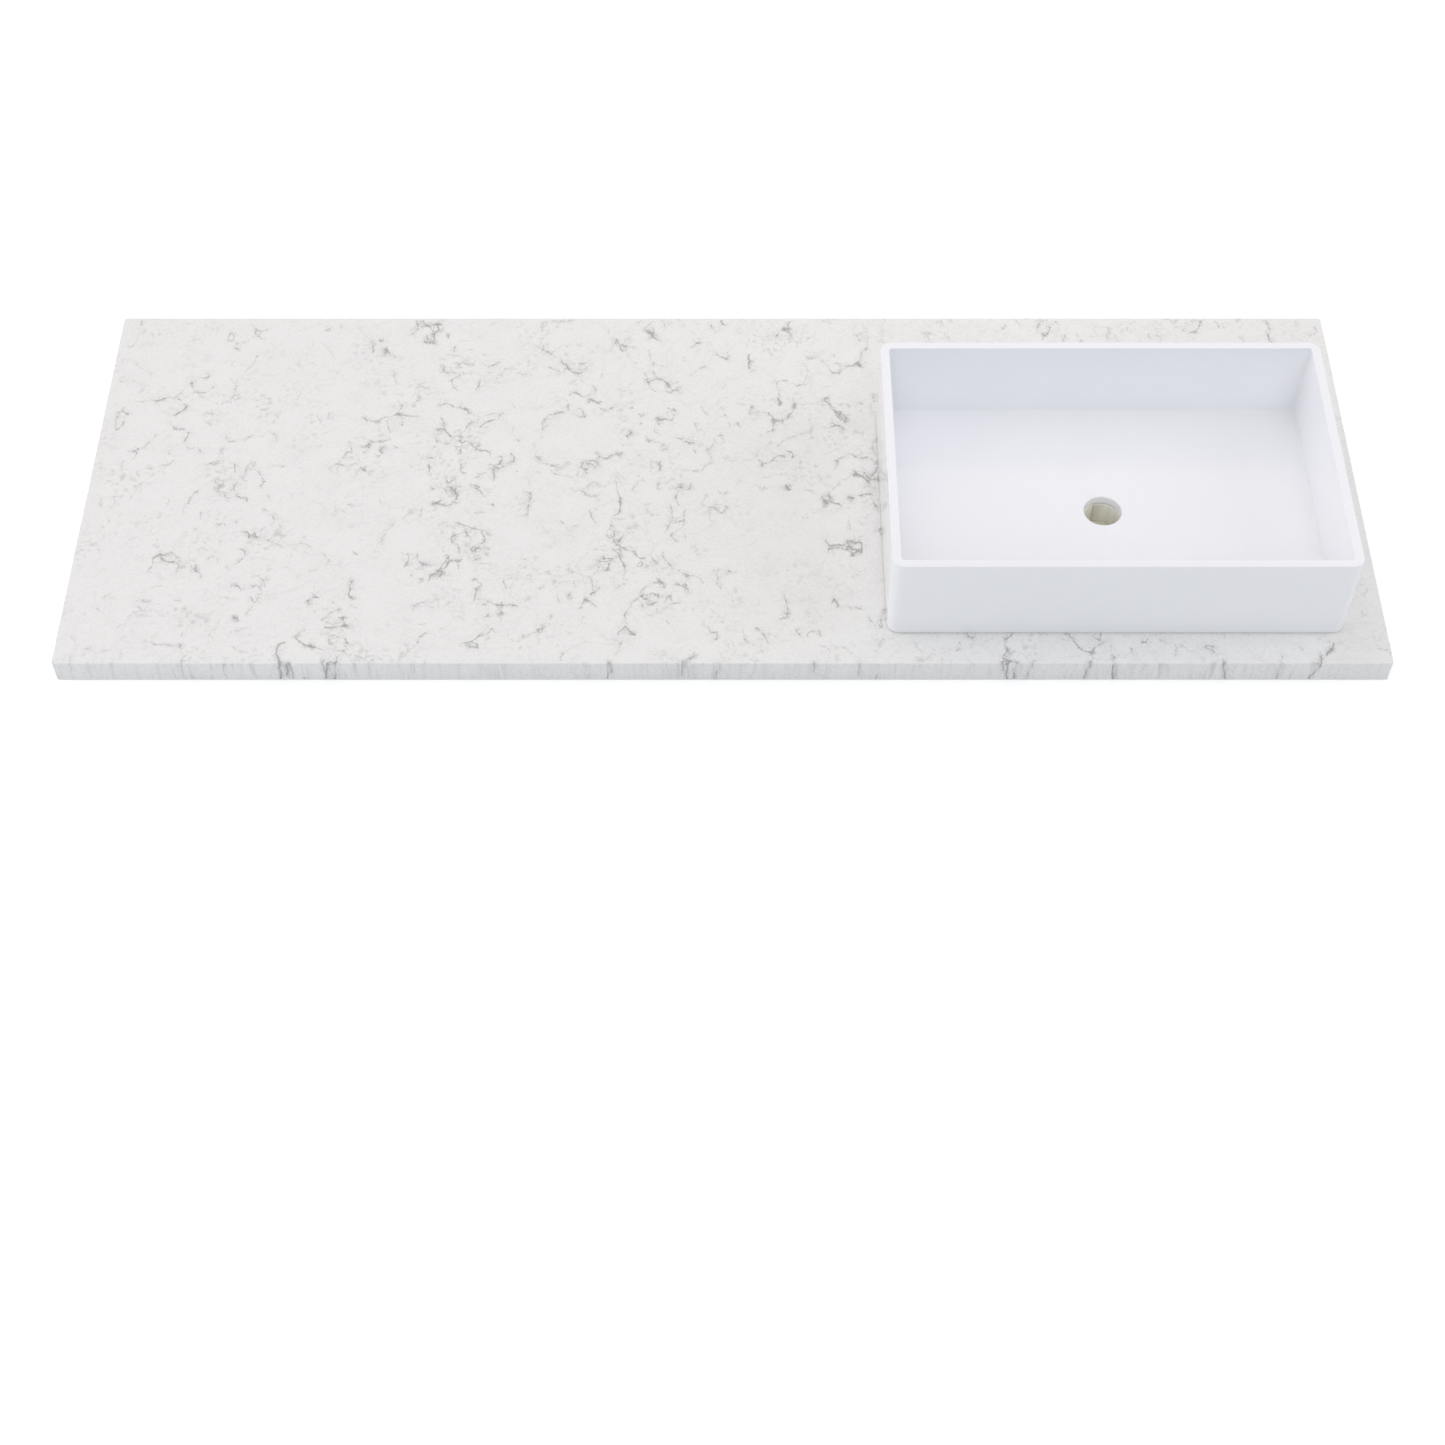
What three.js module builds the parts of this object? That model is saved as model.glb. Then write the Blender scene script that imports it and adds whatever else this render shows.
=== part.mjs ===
// A vanity sink top: a slab of engineered quartz with a rectangular vessel basin bedded on it.
// Millimetres, +Z up, +X to the right and +Y towards the wall.
// The origin is the centre of the slab's underside.
import * as THREE from 'three';

// Slab, 60 by 22 inches and 3 cm thick
const SLAB_WIDTH = 1524;
const SLAB_DEPTH = 558.8;
const SLAB_THICKNESS = 30;
const SLAB_CORNER_RADIUS = 4;
const SLAB_ARRIS = 1.5;

// Where the basin's middle stands on the slab
const BASIN_X = 450.5;
const BASIN_Y = -60;

// Basin, outside. Its heights are taken from the slab's top
const BASIN_WIDTH = 524;
const BASIN_DEPTH = 351;
const RIM_HEIGHT = 117.5;
const BASIN_CORNER_RADIUS = 14;
const RIM_ARRIS = 1;
const FOOT_ARRIS = 0.8;

// Basin, inside. The inner walls lean in by WALL_DRAFT from the rim to the floor
const WALL_THICKNESS = 10.5;
const WALL_DRAFT = 2;
const INNER_CORNER_RADIUS = 3;
const FLOOR_HEIGHT = 13.5;
const FLOOR_FILLET = 3;

// Basin, underside: a foot runs round a shallow recess
const FOOT_WIDTH = 14;
const UNDERSIDE_HEIGHT = 3;

// Drain hole, 1 3/4 inches across, through the basin's floor and the slab
const DRAIN_RADIUS = 22.225;
const DRAIN_EDGE_RADIUS = 1.5;

// Silicone bead under the foot, set back from the basin's outer face
const BEAD_THICKNESS = 1;
const BEAD_SETBACK = 1.5;
const BEAD_WIDTH = 8;

// Silicone ring round the drain hole, squeezed between the slab and the basin's underside
const SEAL_INNER_RADIUS = 24.5;
const SEAL_OUTER_RADIUS = 34;
const SEAL_BULGE = 1;

// Facets. A ring has RING_STEPS points, and a quarter round in a section has twice ARC_DIVISIONS steps
const RING_STEPS = 64;
const CORNER_STEPS = 8;
const SIDE_STEPS = RING_STEPS / 4 - CORNER_STEPS;
const ARC_DIVISIONS = 2;

const FULL_TURN = 2 * Math.PI;
const QUARTER_TURN = Math.PI / 2;

const quartz = new THREE.MeshStandardMaterial({ color: 0xf0efee, roughness: 0.35, metalness: 0 });
const glaze = new THREE.MeshStandardMaterial({ color: 0xf7f7fb, roughness: 0.12, metalness: 0 });
const bedding = new THREE.MeshStandardMaterial({ color: 0xcfcfcb, roughness: 0.5, metalness: 0 });
const sealant = new THREE.MeshStandardMaterial({ color: 0xe5e3dd, roughness: 0.6, metalness: 0 });

// A rectangle with round corners, anticlockwise from the start of its right-hand back corner
function rectangleRing(width, depth, radius, middle = new THREE.Vector2()) {
  const ring = [];
  const centres = [[1, 1], [-1, 1], [-1, -1], [1, -1]].map(
    ([x, y]) => new THREE.Vector2(middle.x + x * (width / 2 - radius), middle.y + y * (depth / 2 - radius)),
  );
  centres.forEach((centre, corner) => {
    const nextCentre = centres[(corner + 1) % centres.length];
    for (let step = 0; step < CORNER_STEPS; step += 1) {
      ring.push(pointOnCircle(centre, radius, (corner + step / CORNER_STEPS) * QUARTER_TURN));
    }
    for (let step = 0; step < SIDE_STEPS; step += 1) {
      const along = centre.clone().lerp(nextCentre, step / SIDE_STEPS);
      ring.push(pointOnCircle(along, radius, (corner + 1) * QUARTER_TURN));
    }
  });
  return ring;
}

// A circle whose points face those of a rectangleRing round it, quarter points to the middles of the sides
function circleRing(radius, middle = new THREE.Vector2()) {
  const ring = [];
  for (let step = 0; step < RING_STEPS; step += 1) {
    ring.push(pointOnCircle(middle, radius, ((step + SIDE_STEPS / 2) / RING_STEPS) * FULL_TURN));
  }
  return ring;
}

function pointOnCircle(centre, radius, angle) {
  return new THREE.Vector2(centre.x + radius * Math.cos(angle), centre.y + radius * Math.sin(angle));
}

// Level rings for a section's points (x, height), each the ring that ringAt gives for x
function levelsAlong(section, ringAt) {
  return section.getPoints(ARC_DIVISIONS).map(({ x, y }) => ({ ring: ringAt(x), z: y }));
}

// One closed skin through a loop of level rings, each joined to the next and the last to the first
function skinThroughRings(levels) {
  const positions = levels.flatMap(({ ring, z }) => ring.flatMap((point) => [point.x, point.y, z]));
  const indices = [];
  levels.forEach((level, row) => {
    const here = row * RING_STEPS;
    const above = ((row + 1) % levels.length) * RING_STEPS;
    for (let step = 0; step < RING_STEPS; step += 1) {
      const next = (step + 1) % RING_STEPS;
      indices.push(here + step, here + next, above + next);
      indices.push(here + step, above + next, above + step);
    }
  });
  const geometry = new THREE.BufferGeometry();
  geometry.setAttribute('position', new THREE.Float32BufferAttribute(positions, 3));
  geometry.setIndex(indices);
  geometry.computeVertexNormals();
  return geometry;
}

// The slab's facets meet under the basin's outline, so that those of the free deck stop at the basin
function quartzSlab() {
  const basinMiddle = new THREE.Vector2(BASIN_X, BASIN_Y);
  const underBasin = basinRing(0, basinMiddle);
  const topArris = SLAB_THICKNESS - SLAB_ARRIS;

  // Section through the slab's edge as (distance in from the edge, height), from the underside up
  const edge = new THREE.Path();
  edge.absarc(SLAB_ARRIS, SLAB_ARRIS, SLAB_ARRIS, -QUARTER_TURN, -2 * QUARTER_TURN, true);
  edge.absarc(SLAB_ARRIS, topArris, SLAB_ARRIS, 2 * QUARTER_TURN, QUARTER_TURN, true);

  // Section through the drain hole as (radius, height), from the top down
  const hole = new THREE.Path();
  const arrisRadius = DRAIN_RADIUS + SLAB_ARRIS;
  hole.absarc(arrisRadius, topArris, SLAB_ARRIS, QUARTER_TURN, 2 * QUARTER_TURN, false);
  hole.absarc(arrisRadius, SLAB_ARRIS, SLAB_ARRIS, 2 * QUARTER_TURN, 3 * QUARTER_TURN, false);

  const levels = [
    ...levelsAlong(edge, slabRing),
    { ring: underBasin, z: SLAB_THICKNESS },
    ...levelsAlong(hole, (radius) => circleRing(radius, basinMiddle)),
    { ring: underBasin, z: 0 },
  ];
  return new THREE.Mesh(skinThroughRings(levels), quartz);
}

// The slab's outline at a given distance in from its edge
function slabRing(inset) {
  return rectangleRing(SLAB_WIDTH - 2 * inset, SLAB_DEPTH - 2 * inset, SLAB_CORNER_RADIUS - inset);
}

// The basin's outline at a given distance in from its outer face. Its corners tighten towards the inside
function basinRing(inset, middle) {
  const share = Math.min(inset / WALL_THICKNESS, 1);
  const radius = THREE.MathUtils.lerp(BASIN_CORNER_RADIUS, INNER_CORNER_RADIUS, share);
  return rectangleRing(BASIN_WIDTH - 2 * inset, BASIN_DEPTH - 2 * inset, radius, middle);
}

function vesselBasin() {
  // Section through a wall as (distance in from the outer face, height): foot, outside, rim and inside
  const wall = new THREE.Path();
  wall.moveTo(FOOT_WIDTH, UNDERSIDE_HEIGHT);
  wall.lineTo(FOOT_WIDTH, BEAD_THICKNESS);
  wall.absarc(FOOT_ARRIS, BEAD_THICKNESS + FOOT_ARRIS, FOOT_ARRIS, -QUARTER_TURN, -2 * QUARTER_TURN, true);
  wall.absarc(RIM_ARRIS, RIM_HEIGHT - RIM_ARRIS, RIM_ARRIS, 2 * QUARTER_TURN, QUARTER_TURN, true);
  wall.absarc(WALL_THICKNESS - RIM_ARRIS, RIM_HEIGHT - RIM_ARRIS, RIM_ARRIS, QUARTER_TURN, 0, true);
  const filletInset = WALL_THICKNESS + WALL_DRAFT + FLOOR_FILLET;
  const filletHeight = FLOOR_HEIGHT + FLOOR_FILLET;
  wall.absarc(filletInset, filletHeight, FLOOR_FILLET, 2 * QUARTER_TURN, 3 * QUARTER_TURN, false);

  // Section through the drain's edge as (radius, height), from the floor down to the underside
  const drain = new THREE.Path();
  const edgeRadius = DRAIN_RADIUS + DRAIN_EDGE_RADIUS;
  const edgeHeight = FLOOR_HEIGHT - DRAIN_EDGE_RADIUS;
  drain.absarc(edgeRadius, edgeHeight, DRAIN_EDGE_RADIUS, QUARTER_TURN, 2 * QUARTER_TURN, false);
  drain.lineTo(DRAIN_RADIUS, UNDERSIDE_HEIGHT);

  const levels = [...levelsAlong(wall, (inset) => basinRing(inset)), ...levelsAlong(drain, circleRing)];
  return new THREE.Mesh(skinThroughRings(levels), glaze);
}

function basinBead() {
  const outline = new THREE.Shape(basinRing(BEAD_SETBACK));
  outline.holes.push(new THREE.Path(basinRing(BEAD_SETBACK + BEAD_WIDTH)));
  const geometry = new THREE.ExtrudeGeometry(outline, { depth: BEAD_THICKNESS, bevelEnabled: false });
  return new THREE.Mesh(geometry, bedding);
}

function drainSeal() {
  const middle = UNDERSIDE_HEIGHT / 2;
  const section = new THREE.Path();
  section.moveTo(SEAL_INNER_RADIUS, 0);
  section.lineTo(SEAL_OUTER_RADIUS, 0);
  section.quadraticCurveTo(SEAL_OUTER_RADIUS + 2 * SEAL_BULGE, middle, SEAL_OUTER_RADIUS, UNDERSIDE_HEIGHT);
  section.lineTo(SEAL_INNER_RADIUS, UNDERSIDE_HEIGHT);
  section.quadraticCurveTo(SEAL_INNER_RADIUS - 2 * SEAL_BULGE, middle, SEAL_INNER_RADIUS, 0);
  const geometry = new THREE.LatheGeometry(section.getPoints(2 * ARC_DIVISIONS), RING_STEPS);
  geometry.rotateX(QUARTER_TURN);
  return new THREE.Mesh(geometry, sealant);
}

function named(mesh, name) {
  mesh.name = name;
  return mesh;
}

// The basin and its sealant share one place, on top of the slab
const basinPlace = new THREE.Group();
basinPlace.position.set(BASIN_X, BASIN_Y, SLAB_THICKNESS);
basinPlace.add(named(vesselBasin(), 'vessel_basin'));
basinPlace.add(named(basinBead(), 'basin_silicone_bead'));
basinPlace.add(named(drainSeal(), 'drain_seal_ring'));

const vanitySinkTop = new THREE.Group();
vanitySinkTop.add(named(quartzSlab(), 'quartz_slab'));
vanitySinkTop.add(basinPlace);

export default vanitySinkTop;
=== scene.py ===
# A vanity sink top: a slab of engineered quartz with a rectangular vessel basin bedded on it.
# Metres, +Z up, +X to the right and +Y towards the wall. The origin is the centre of the slab's underside.
import math

import bmesh
import bpy
import numpy
from mathutils import Matrix, Vector, noise
from mathutils.geometry import delaunay_2d_cdt


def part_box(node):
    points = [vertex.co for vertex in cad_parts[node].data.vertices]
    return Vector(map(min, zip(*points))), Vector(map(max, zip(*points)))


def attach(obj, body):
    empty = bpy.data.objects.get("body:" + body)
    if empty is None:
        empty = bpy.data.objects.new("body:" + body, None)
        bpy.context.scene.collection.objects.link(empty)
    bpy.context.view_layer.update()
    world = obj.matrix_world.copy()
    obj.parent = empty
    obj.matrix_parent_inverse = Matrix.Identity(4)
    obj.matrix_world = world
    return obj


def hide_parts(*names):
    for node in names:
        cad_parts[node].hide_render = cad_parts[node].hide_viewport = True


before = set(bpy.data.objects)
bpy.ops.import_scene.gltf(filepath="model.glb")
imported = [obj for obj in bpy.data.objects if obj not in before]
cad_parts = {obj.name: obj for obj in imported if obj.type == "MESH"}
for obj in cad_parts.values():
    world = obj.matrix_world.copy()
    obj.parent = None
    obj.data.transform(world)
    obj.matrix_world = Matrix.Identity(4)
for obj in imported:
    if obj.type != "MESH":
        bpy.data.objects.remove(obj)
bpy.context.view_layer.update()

MM = 0.001
RIGHT_ANGLE = math.pi / 2

# Outer sizes and places, from the frame
slab_low, slab_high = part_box("quartz_slab")
basin_low, basin_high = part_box("vessel_basin")
bead_low, bead_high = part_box("basin_silicone_bead")
seal_low, seal_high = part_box("drain_seal_ring")
slab_size = slab_high - slab_low
basin_size = basin_high - basin_low
drain = (seal_low + seal_high) / 2

# Slab
SLAB_CORNER_RADIUS = 4 * MM
SLAB_ARRIS = 1.5 * MM

# Drawn veins: half the width of the darkest, how close the points of their curves lie, how they wobble, each
# swing with its length and its reach, and how far their soft shade reaches
VEIN_REACH = 1.6 * MM
VEIN_STEP = 1.5 * MM
VEIN_WOBBLE = ((9 * MM, 1.3 * MM), (3 * MM, 0.6 * MM))
WOBBLE_SEED = 5
SHADE_REACH = 9 * MM

# A stroke's darkness is FAINTEST_VEIN and as many parts of DARKNESS_PARTS as its number says
FAINTEST_VEIN = 0.16
DARKNESS_PARTS = 140

# Facets of the stone's skin, of the lines that bend it over the front edge, and of the slab's other sides.
# The skin's points keep clear of its outline and of the bends
SKIN_FACET = 6 * MM
FRONT_FACET = 3 * MM
SIDE_FACET = 8 * MM
SLAB_CORNER_STEPS = 8
OUTLINE_CLEAR = 0.4 * MM
BEND_CLEAR = 0.2 * MM

# Basin
BASIN_CORNER_RADIUS = 14 * MM
INNER_CORNER_RADIUS = 3 * MM
RIM_ARRIS = 1 * MM
FOOT_ARRIS = 0.8 * MM
WALL_THICKNESS = 10.5 * MM
WALL_DRAFT = 2 * MM
FLOOR_HEIGHT = 13.5 * MM
FLOOR_FILLET = 3 * MM
FOOT_WIDTH = 14 * MM
DRAIN_RADIUS = 22.225 * MM
DRAIN_EDGE_RADIUS = 1.5 * MM
BALL_CORNER_RADIUS = 0.2 * MM
BASIN_CENTRE = Vector((drain.x, drain.y, 0))

# How far left of the drain's middle a darker seam of the stone shows in its bore
BORE_SEAM = 7.5 * MM

# Sealants. They are laid by hand, and wander in and out over about UNEVENNESS_LENGTH
BEAD_WIDTH = 8 * MM
BEAD_BULGE = 0.35 * MM
BEAD_UNEVENNESS = 0.3 * MM
SEAL_WIDTH = 9.5 * MM
SEAL_BULGE = 1 * MM
SEAL_UNEVENNESS = 0.2 * MM
UNEVENNESS_LENGTH = 18 * MM

# Facets of rounded sections and of the rings through them, and what counts as one point or as a round edge
ARC_STEPS = 6
CORNER_STEPS = 14
SIDE_STEPS = 10
SHADING_LEAD = 0.5 * MM
TOUCHING = 0.001 * MM
SMOOTH_ANGLE = math.radians(35)


def is_vector(value):
    return isinstance(value, tuple) or isinstance(value, Wire) and value.socket.type in ("VECTOR", "RGBA")


def both_ways(operation):
    """The method of an arithmetic operator and its reflected form."""
    return (
        lambda wire, other: wire.math(operation, wire, other),
        lambda wire, other: wire.math(operation, other, wire),
    )


def on_itself(operation):
    return lambda wire: wire.math(operation, wire)


class Wire:
    """A socket that values come from. Arithmetic on wires adds the Math or Vector Math node that does it."""

    def __init__(self, tree, socket):
        self.tree = tree
        self.socket = socket

    def math(self, operation, *operands):
        kind = "ShaderNodeVectorMath" if any(map(is_vector, operands)) else "ShaderNodeMath"
        return self.tree.node(kind, {"operation": operation}, operands)

    __add__, __radd__ = both_ways("ADD")
    __sub__, __rsub__ = both_ways("SUBTRACT")
    __mul__, __rmul__ = both_ways("MULTIPLY")
    __truediv__, __rtruediv__ = both_ways("DIVIDE")

    def __pow__(self, power):
        return self.math("POWER", self, power)

    floor = on_itself("FLOOR")
    absolute = on_itself("ABSOLUTE")
    cosine = on_itself("COSINE")
    sine = on_itself("SINE")
    length = on_itself("LENGTH")

    def at_least(self, low):
        return self.math("MAXIMUM", self, low)

    def at_most(self, high):
        return self.math("MINIMUM", self, high)

    def dot(self, other):
        return self.tree.node("ShaderNodeVectorMath", {"operation": "DOT_PRODUCT"}, [self, other], "Value")

    def rises(self, low, high):
        """A smooth step from 0 where this is low to 1 where it is high."""
        settings = {"interpolation_type": "SMOOTHSTEP"}
        inputs = {"Value": self, "From Min": low, "From Max": high}
        return self.tree.node("ShaderNodeMapRange", settings, inputs)

    def falls(self, low, high):
        return 1 - self.rises(low, high)


class Tree:
    """A node tree under construction: a material's, a world's or a Geometry Nodes group's."""

    def __init__(self, node_tree):
        self.node_tree = node_tree
        node_tree.nodes.clear()

    def node(self, kind, settings=None, inputs=(), output=0):
        """Adds a node: its settings, which choose its sockets, then its inputs, by name or in order."""
        made = self.node_tree.nodes.new(kind)
        for name, value in (settings or {}).items():
            setattr(made, name, value)
        sockets = [socket for socket in made.inputs if socket.enabled]
        named = {socket.name: socket for socket in reversed(sockets)}
        pairs = inputs.items() if isinstance(inputs, dict) else enumerate(inputs)
        for key, value in pairs:
            socket = named[key] if isinstance(key, str) else sockets[key]
            if isinstance(value, Wire):
                self.node_tree.links.new(value.socket, socket)
            else:
                socket.default_value = value
        results = [socket for socket in made.outputs if socket.enabled]
        if not results:
            return made
        chosen = results[output] if isinstance(output, int) else made.outputs[output]
        return Wire(self, chosen)

    def noise(self, vector, scale, detail=2.0, output="Fac"):
        inputs = {"Vector": vector, "Scale": scale, "Detail": detail}
        return self.node("ShaderNodeTexNoise", {}, inputs, output)

    def cells(self, vector, scale, output="Color"):
        """Irregular cells, with a colour of its own for each."""
        return self.node("ShaderNodeTexVoronoi", {}, {"Vector": vector, "Scale": scale}, output)

    def cell_edges(self, vector, scale):
        """The distance, in metres, to the nearest edge of irregular cells."""
        settings = {"feature": "DISTANCE_TO_EDGE"}
        return self.node("ShaderNodeTexVoronoi", settings, {"Vector": vector, "Scale": scale}) / scale

    def mix(self, share, start, end):
        """A colour between two others."""
        return self.node("ShaderNodeMix", {"data_type": "RGBA"}, {"Factor": share, "A": start, "B": end})

    def parts(self, vector):
        return [self.node("ShaderNodeSeparateXYZ", {}, [vector], axis) for axis in "XYZ"]

    def wander(self, vector, scale, reach):
        """Moves a place by up to about half this reach, smoothly and at random."""
        shift = self.noise(vector, scale, 2.0, "Color") - (0.5, 0.5, 0.5)
        return vector + shift * (reach, reach, reach)


class Finish(Tree):
    """A material on a piece, whose patterns sit still in the piece."""

    def __init__(self, name):
        self.material = bpy.data.materials.new(name)
        self.material.use_nodes = True
        super().__init__(self.material.node_tree)
        self.place = self.node("ShaderNodeTexCoord", {}, (), "Object")

    def attribute(self, label):
        return self.node("ShaderNodeAttribute", {"attribute_name": label}, (), "Fac")

    def surface(self, inputs, height=None, relief=0.0):
        """Closes the material with a Principled surface, embossed by a height of up to this relief."""
        if height is not None:
            bump = {"Strength": 1.0, "Distance": relief, "Height": height}
            inputs = {**inputs, "Normal": self.node("ShaderNodeBump", {}, bump)}
        shader = self.node("ShaderNodeBsdfPrincipled", {}, inputs)
        self.node("ShaderNodeOutputMaterial", {}, {"Surface": shader})
        return self.material


class PieceTree(Tree):
    """A Geometry Nodes group that makes a piece, with a named input for each of its sizes."""

    def __init__(self, name, inputs):
        group = bpy.data.node_groups.new(name, "GeometryNodeTree")
        super().__init__(group)
        group.interface.new_socket("Geometry", in_out="OUTPUT", socket_type="NodeSocketGeometry")
        for label, kind in {"Geometry": "Geometry", **inputs, "Material": "Material"}.items():
            group.interface.new_socket(label, in_out="INPUT", socket_type="NodeSocket" + kind)
        self.entry = group.nodes.new("NodeGroupInput")

    def given(self, label):
        return Wire(self, self.entry.outputs[label])

    def finish(self, geometry):
        real = self.node("GeometryNodeRealizeInstances", {}, [geometry])
        inputs = {"Geometry": real, "Material": self.given("Material")}
        self.node("NodeGroupOutput", {}, [self.node("GeometryNodeSetMaterial", {}, inputs)])

    def make(self, name, start, sizes):
        """Runs the group on a starting mesh and gives a plain mesh object."""
        piece = bpy.data.objects.new(name, start)
        bpy.context.collection.objects.link(piece)
        modifier = piece.modifiers.new(name, "NODES")
        modifier.node_group = self.node_tree
        for item in self.node_tree.interface.items_tree:
            if item.in_out == "INPUT" and item.name in sizes:
                modifier[item.identifier] = sizes[item.name]
        settle(piece)
        piece.data.materials.clear()
        piece.data.materials.append(sizes["Material"])
        return piece


def settle(piece):
    """Makes the result of a piece's modifiers its plain mesh."""
    depsgraph = bpy.context.evaluated_depsgraph_get()
    mesh = bpy.data.meshes.new_from_object(
        piece.evaluated_get(depsgraph), preserve_all_data_layers=True, depsgraph=depsgraph
    )
    piece.modifiers.clear()
    piece.data = mesh
    mesh.name = piece.name


def reworked(mesh, work):
    """Runs a function on a mesh's bmesh and writes the result back."""
    workpiece = bmesh.new()
    workpiece.from_mesh(mesh)
    work(workpiece)
    workpiece.to_mesh(mesh)
    workpiece.free()
    mesh.update()


def face_outwards(workpiece):
    bmesh.ops.recalc_face_normals(workpiece, faces=workpiece.faces[:])
    if workpiece.calc_volume(signed=True) < 0:
        bmesh.ops.reverse_faces(workpiece, faces=workpiece.faces[:])


def close_up(mesh):
    """Turns a closed surface's faces outwards and shades it smooth, with true edges kept sharp."""
    reworked(mesh, face_outwards)
    mesh.shade_smooth()
    mesh.set_sharp_from_angle(angle=SMOOTH_ANGLE)


def arc(middle, radius, start, end):
    """A round stretch of a section as points (distance, height), with a short straight lead at both ends.
    The angles are in degrees. The leads keep the shading of the flats beside it flat."""
    turn = math.copysign(RIGHT_ANGLE, end - start)
    points = []
    for step in range(ARC_STEPS + 1):
        angle = math.radians(start + (end - start) * step / ARC_STEPS)
        points.append(Vector((middle[0] + radius * math.cos(angle), middle[1] + radius * math.sin(angle))))
    first, last = math.radians(start) + turn, math.radians(end) + turn
    lead_in = points[0] - SHADING_LEAD * Vector((math.cos(first), math.sin(first)))
    lead_out = points[-1] + SHADING_LEAD * Vector((math.cos(last), math.sin(last)))
    return [lead_in, *points, lead_out]


def section_mesh(name, levels):
    """A mesh of points that holds a section. A level is (distance, height, corner radius, roundness)."""
    mesh = bpy.data.meshes.new(name)
    mesh.from_pydata([(distance, 0, height) for distance, height, _, _ in levels], [], [])
    for column, label in ((2, "corner_radius"), (3, "roundness")):
        attribute = mesh.attributes.new(label, "FLOAT", "POINT")
        attribute.data.foreach_set("value", [level[column] for level in levels])
    return mesh


def rectangle_levels(points, corner_radius):
    """Levels of a section through a side, from its distance in from the outline."""
    return [(x, height, corner_radius(x), 0.0) for x, height in points]


def circle_levels(points):
    """Levels of a section through something round, from its radius."""
    return [(radius, height, 0.0, 1.0) for radius, height in points]


def ring_tree():
    """Level rings through the points of a section, each joined to the next: rectangles with round corners,
    which turn into circles where the section says so."""
    tree = PieceTree("rings", {
        "Width": "Float", "Depth": "Float", "Centre": "Vector", "Corner Steps": "Int", "Side Steps": "Int",
        "Closed": "Bool", "Unevenness": "Float", "Unevenness Length": "Float", "Seed": "Float",
    })
    section = tree.given("Geometry")
    levels = tree.node("GeometryNodeAttributeDomainSize", {}, [section], "Point Count")
    rows = levels + tree.given("Closed")
    corner_steps = tree.given("Corner Steps")
    quarter_steps = corner_steps + tree.given("Side Steps")
    columns = 4 * quarter_steps
    sheet = tree.node("GeometryNodeMeshGrid", {}, {"Vertices X": columns + 1, "Vertices Y": rows}, "Mesh")

    # Each vertex has a column round the ring and a level of the section
    index = tree.node("GeometryNodeInputIndex")
    column = ((index + 0.5) / rows).floor()
    row = index - column * rows
    level = row - levels * ((row + 0.5) / levels).floor()

    def at_level(data_type, value):
        inputs = {"Geometry": section, "Value": value, "Index": level}
        return tree.node("GeometryNodeSampleIndex", {"data_type": data_type}, inputs)

    def section_value(label):
        value = tree.node("GeometryNodeInputNamedAttribute", {"data_type": "FLOAT"}, [label], "Attribute")
        return at_level("FLOAT", value)

    distance, _, height = tree.parts(at_level("FLOAT_VECTOR", tree.node("GeometryNodeInputPosition")))
    radius = section_value("corner_radius")
    roundness = section_value("roundness")

    # Round a quarter: first the corner's arc, then the side to the next corner
    turn = column / quarter_steps
    quarter = ((column + 0.5) / quarter_steps).floor()
    corner_share = corner_steps / quarter_steps
    along = turn - quarter
    outward = (quarter + (along / corner_share).at_most(1)) * RIGHT_ANGLE
    side = ((along - corner_share) / (1 - corner_share)).at_least(0)

    def corner_sign(direction, corner):
        return direction((corner + 0.5) * RIGHT_ANGLE) * math.sqrt(2)

    def across(direction, size):
        """The ring's x with the cosine and the width, and its y with the sine and the depth."""
        here = corner_sign(direction, quarter)
        corner = here + (corner_sign(direction, quarter + 1) - here) * side
        on_rectangle = corner * (size / 2 - distance - radius) + radius * direction(outward)
        on_circle = distance * direction((turn + (1 - corner_share) / 2) * RIGHT_ANGLE)
        return on_rectangle + (on_circle - on_rectangle) * roundness

    x = across(Wire.cosine, tree.given("Width"))
    y = across(Wire.sine, tree.given("Depth"))

    # A hand-laid piece wanders a little in and out
    flat_place = tree.node("ShaderNodeCombineXYZ", {}, [x, y, height])
    wave = {"Vector": flat_place, "W": tree.given("Seed"), "Scale": 1 / tree.given("Unevenness Length")}
    drift = tree.node("ShaderNodeTexNoise", {"noise_dimensions": "4D"}, wave, "Fac") - 0.5
    swing = drift * tree.given("Unevenness") * 2
    aside = tree.node("ShaderNodeCombineXYZ", {}, [outward.cosine() * swing, outward.sine() * swing, 0.0])
    place = flat_place + aside + tree.given("Centre")

    moved = tree.node("GeometryNodeSetPosition", {}, {"Geometry": sheet, "Position": place})
    joined = tree.node("GeometryNodeMergeByDistance", {}, {"Geometry": moved, "Distance": TOUCHING})
    tree.finish(joined)
    return tree


RINGS = ring_tree()


def drawn_rings(name, levels, size, centre, material, closed=True, unevenness=0.0, seed=0.0, steps=None):
    """A piece whose surface is drawn as rings through these levels."""
    corner_steps, side_steps = steps or (CORNER_STEPS, SIDE_STEPS)
    return RINGS.make(name, section_mesh(name + "_section", levels), {
        "Width": size.x, "Depth": size.y, "Centre": centre, "Corner Steps": corner_steps,
        "Side Steps": side_steps, "Closed": closed, "Unevenness": unevenness,
        "Unevenness Length": UNEVENNESS_LENGTH, "Seed": seed, "Material": material,
    })


# Colours of the glaze, of a pinhole in it and of the bare fireclay
GLAZE = (0.956, 0.956, 0.984, 1), (0.962, 0.962, 0.988, 1)
PINHOLE = (0.70, 0.69, 0.68, 1)
FIRECLAY = (0.70, 0.68, 0.63, 1), (0.80, 0.78, 0.74, 1)


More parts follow.
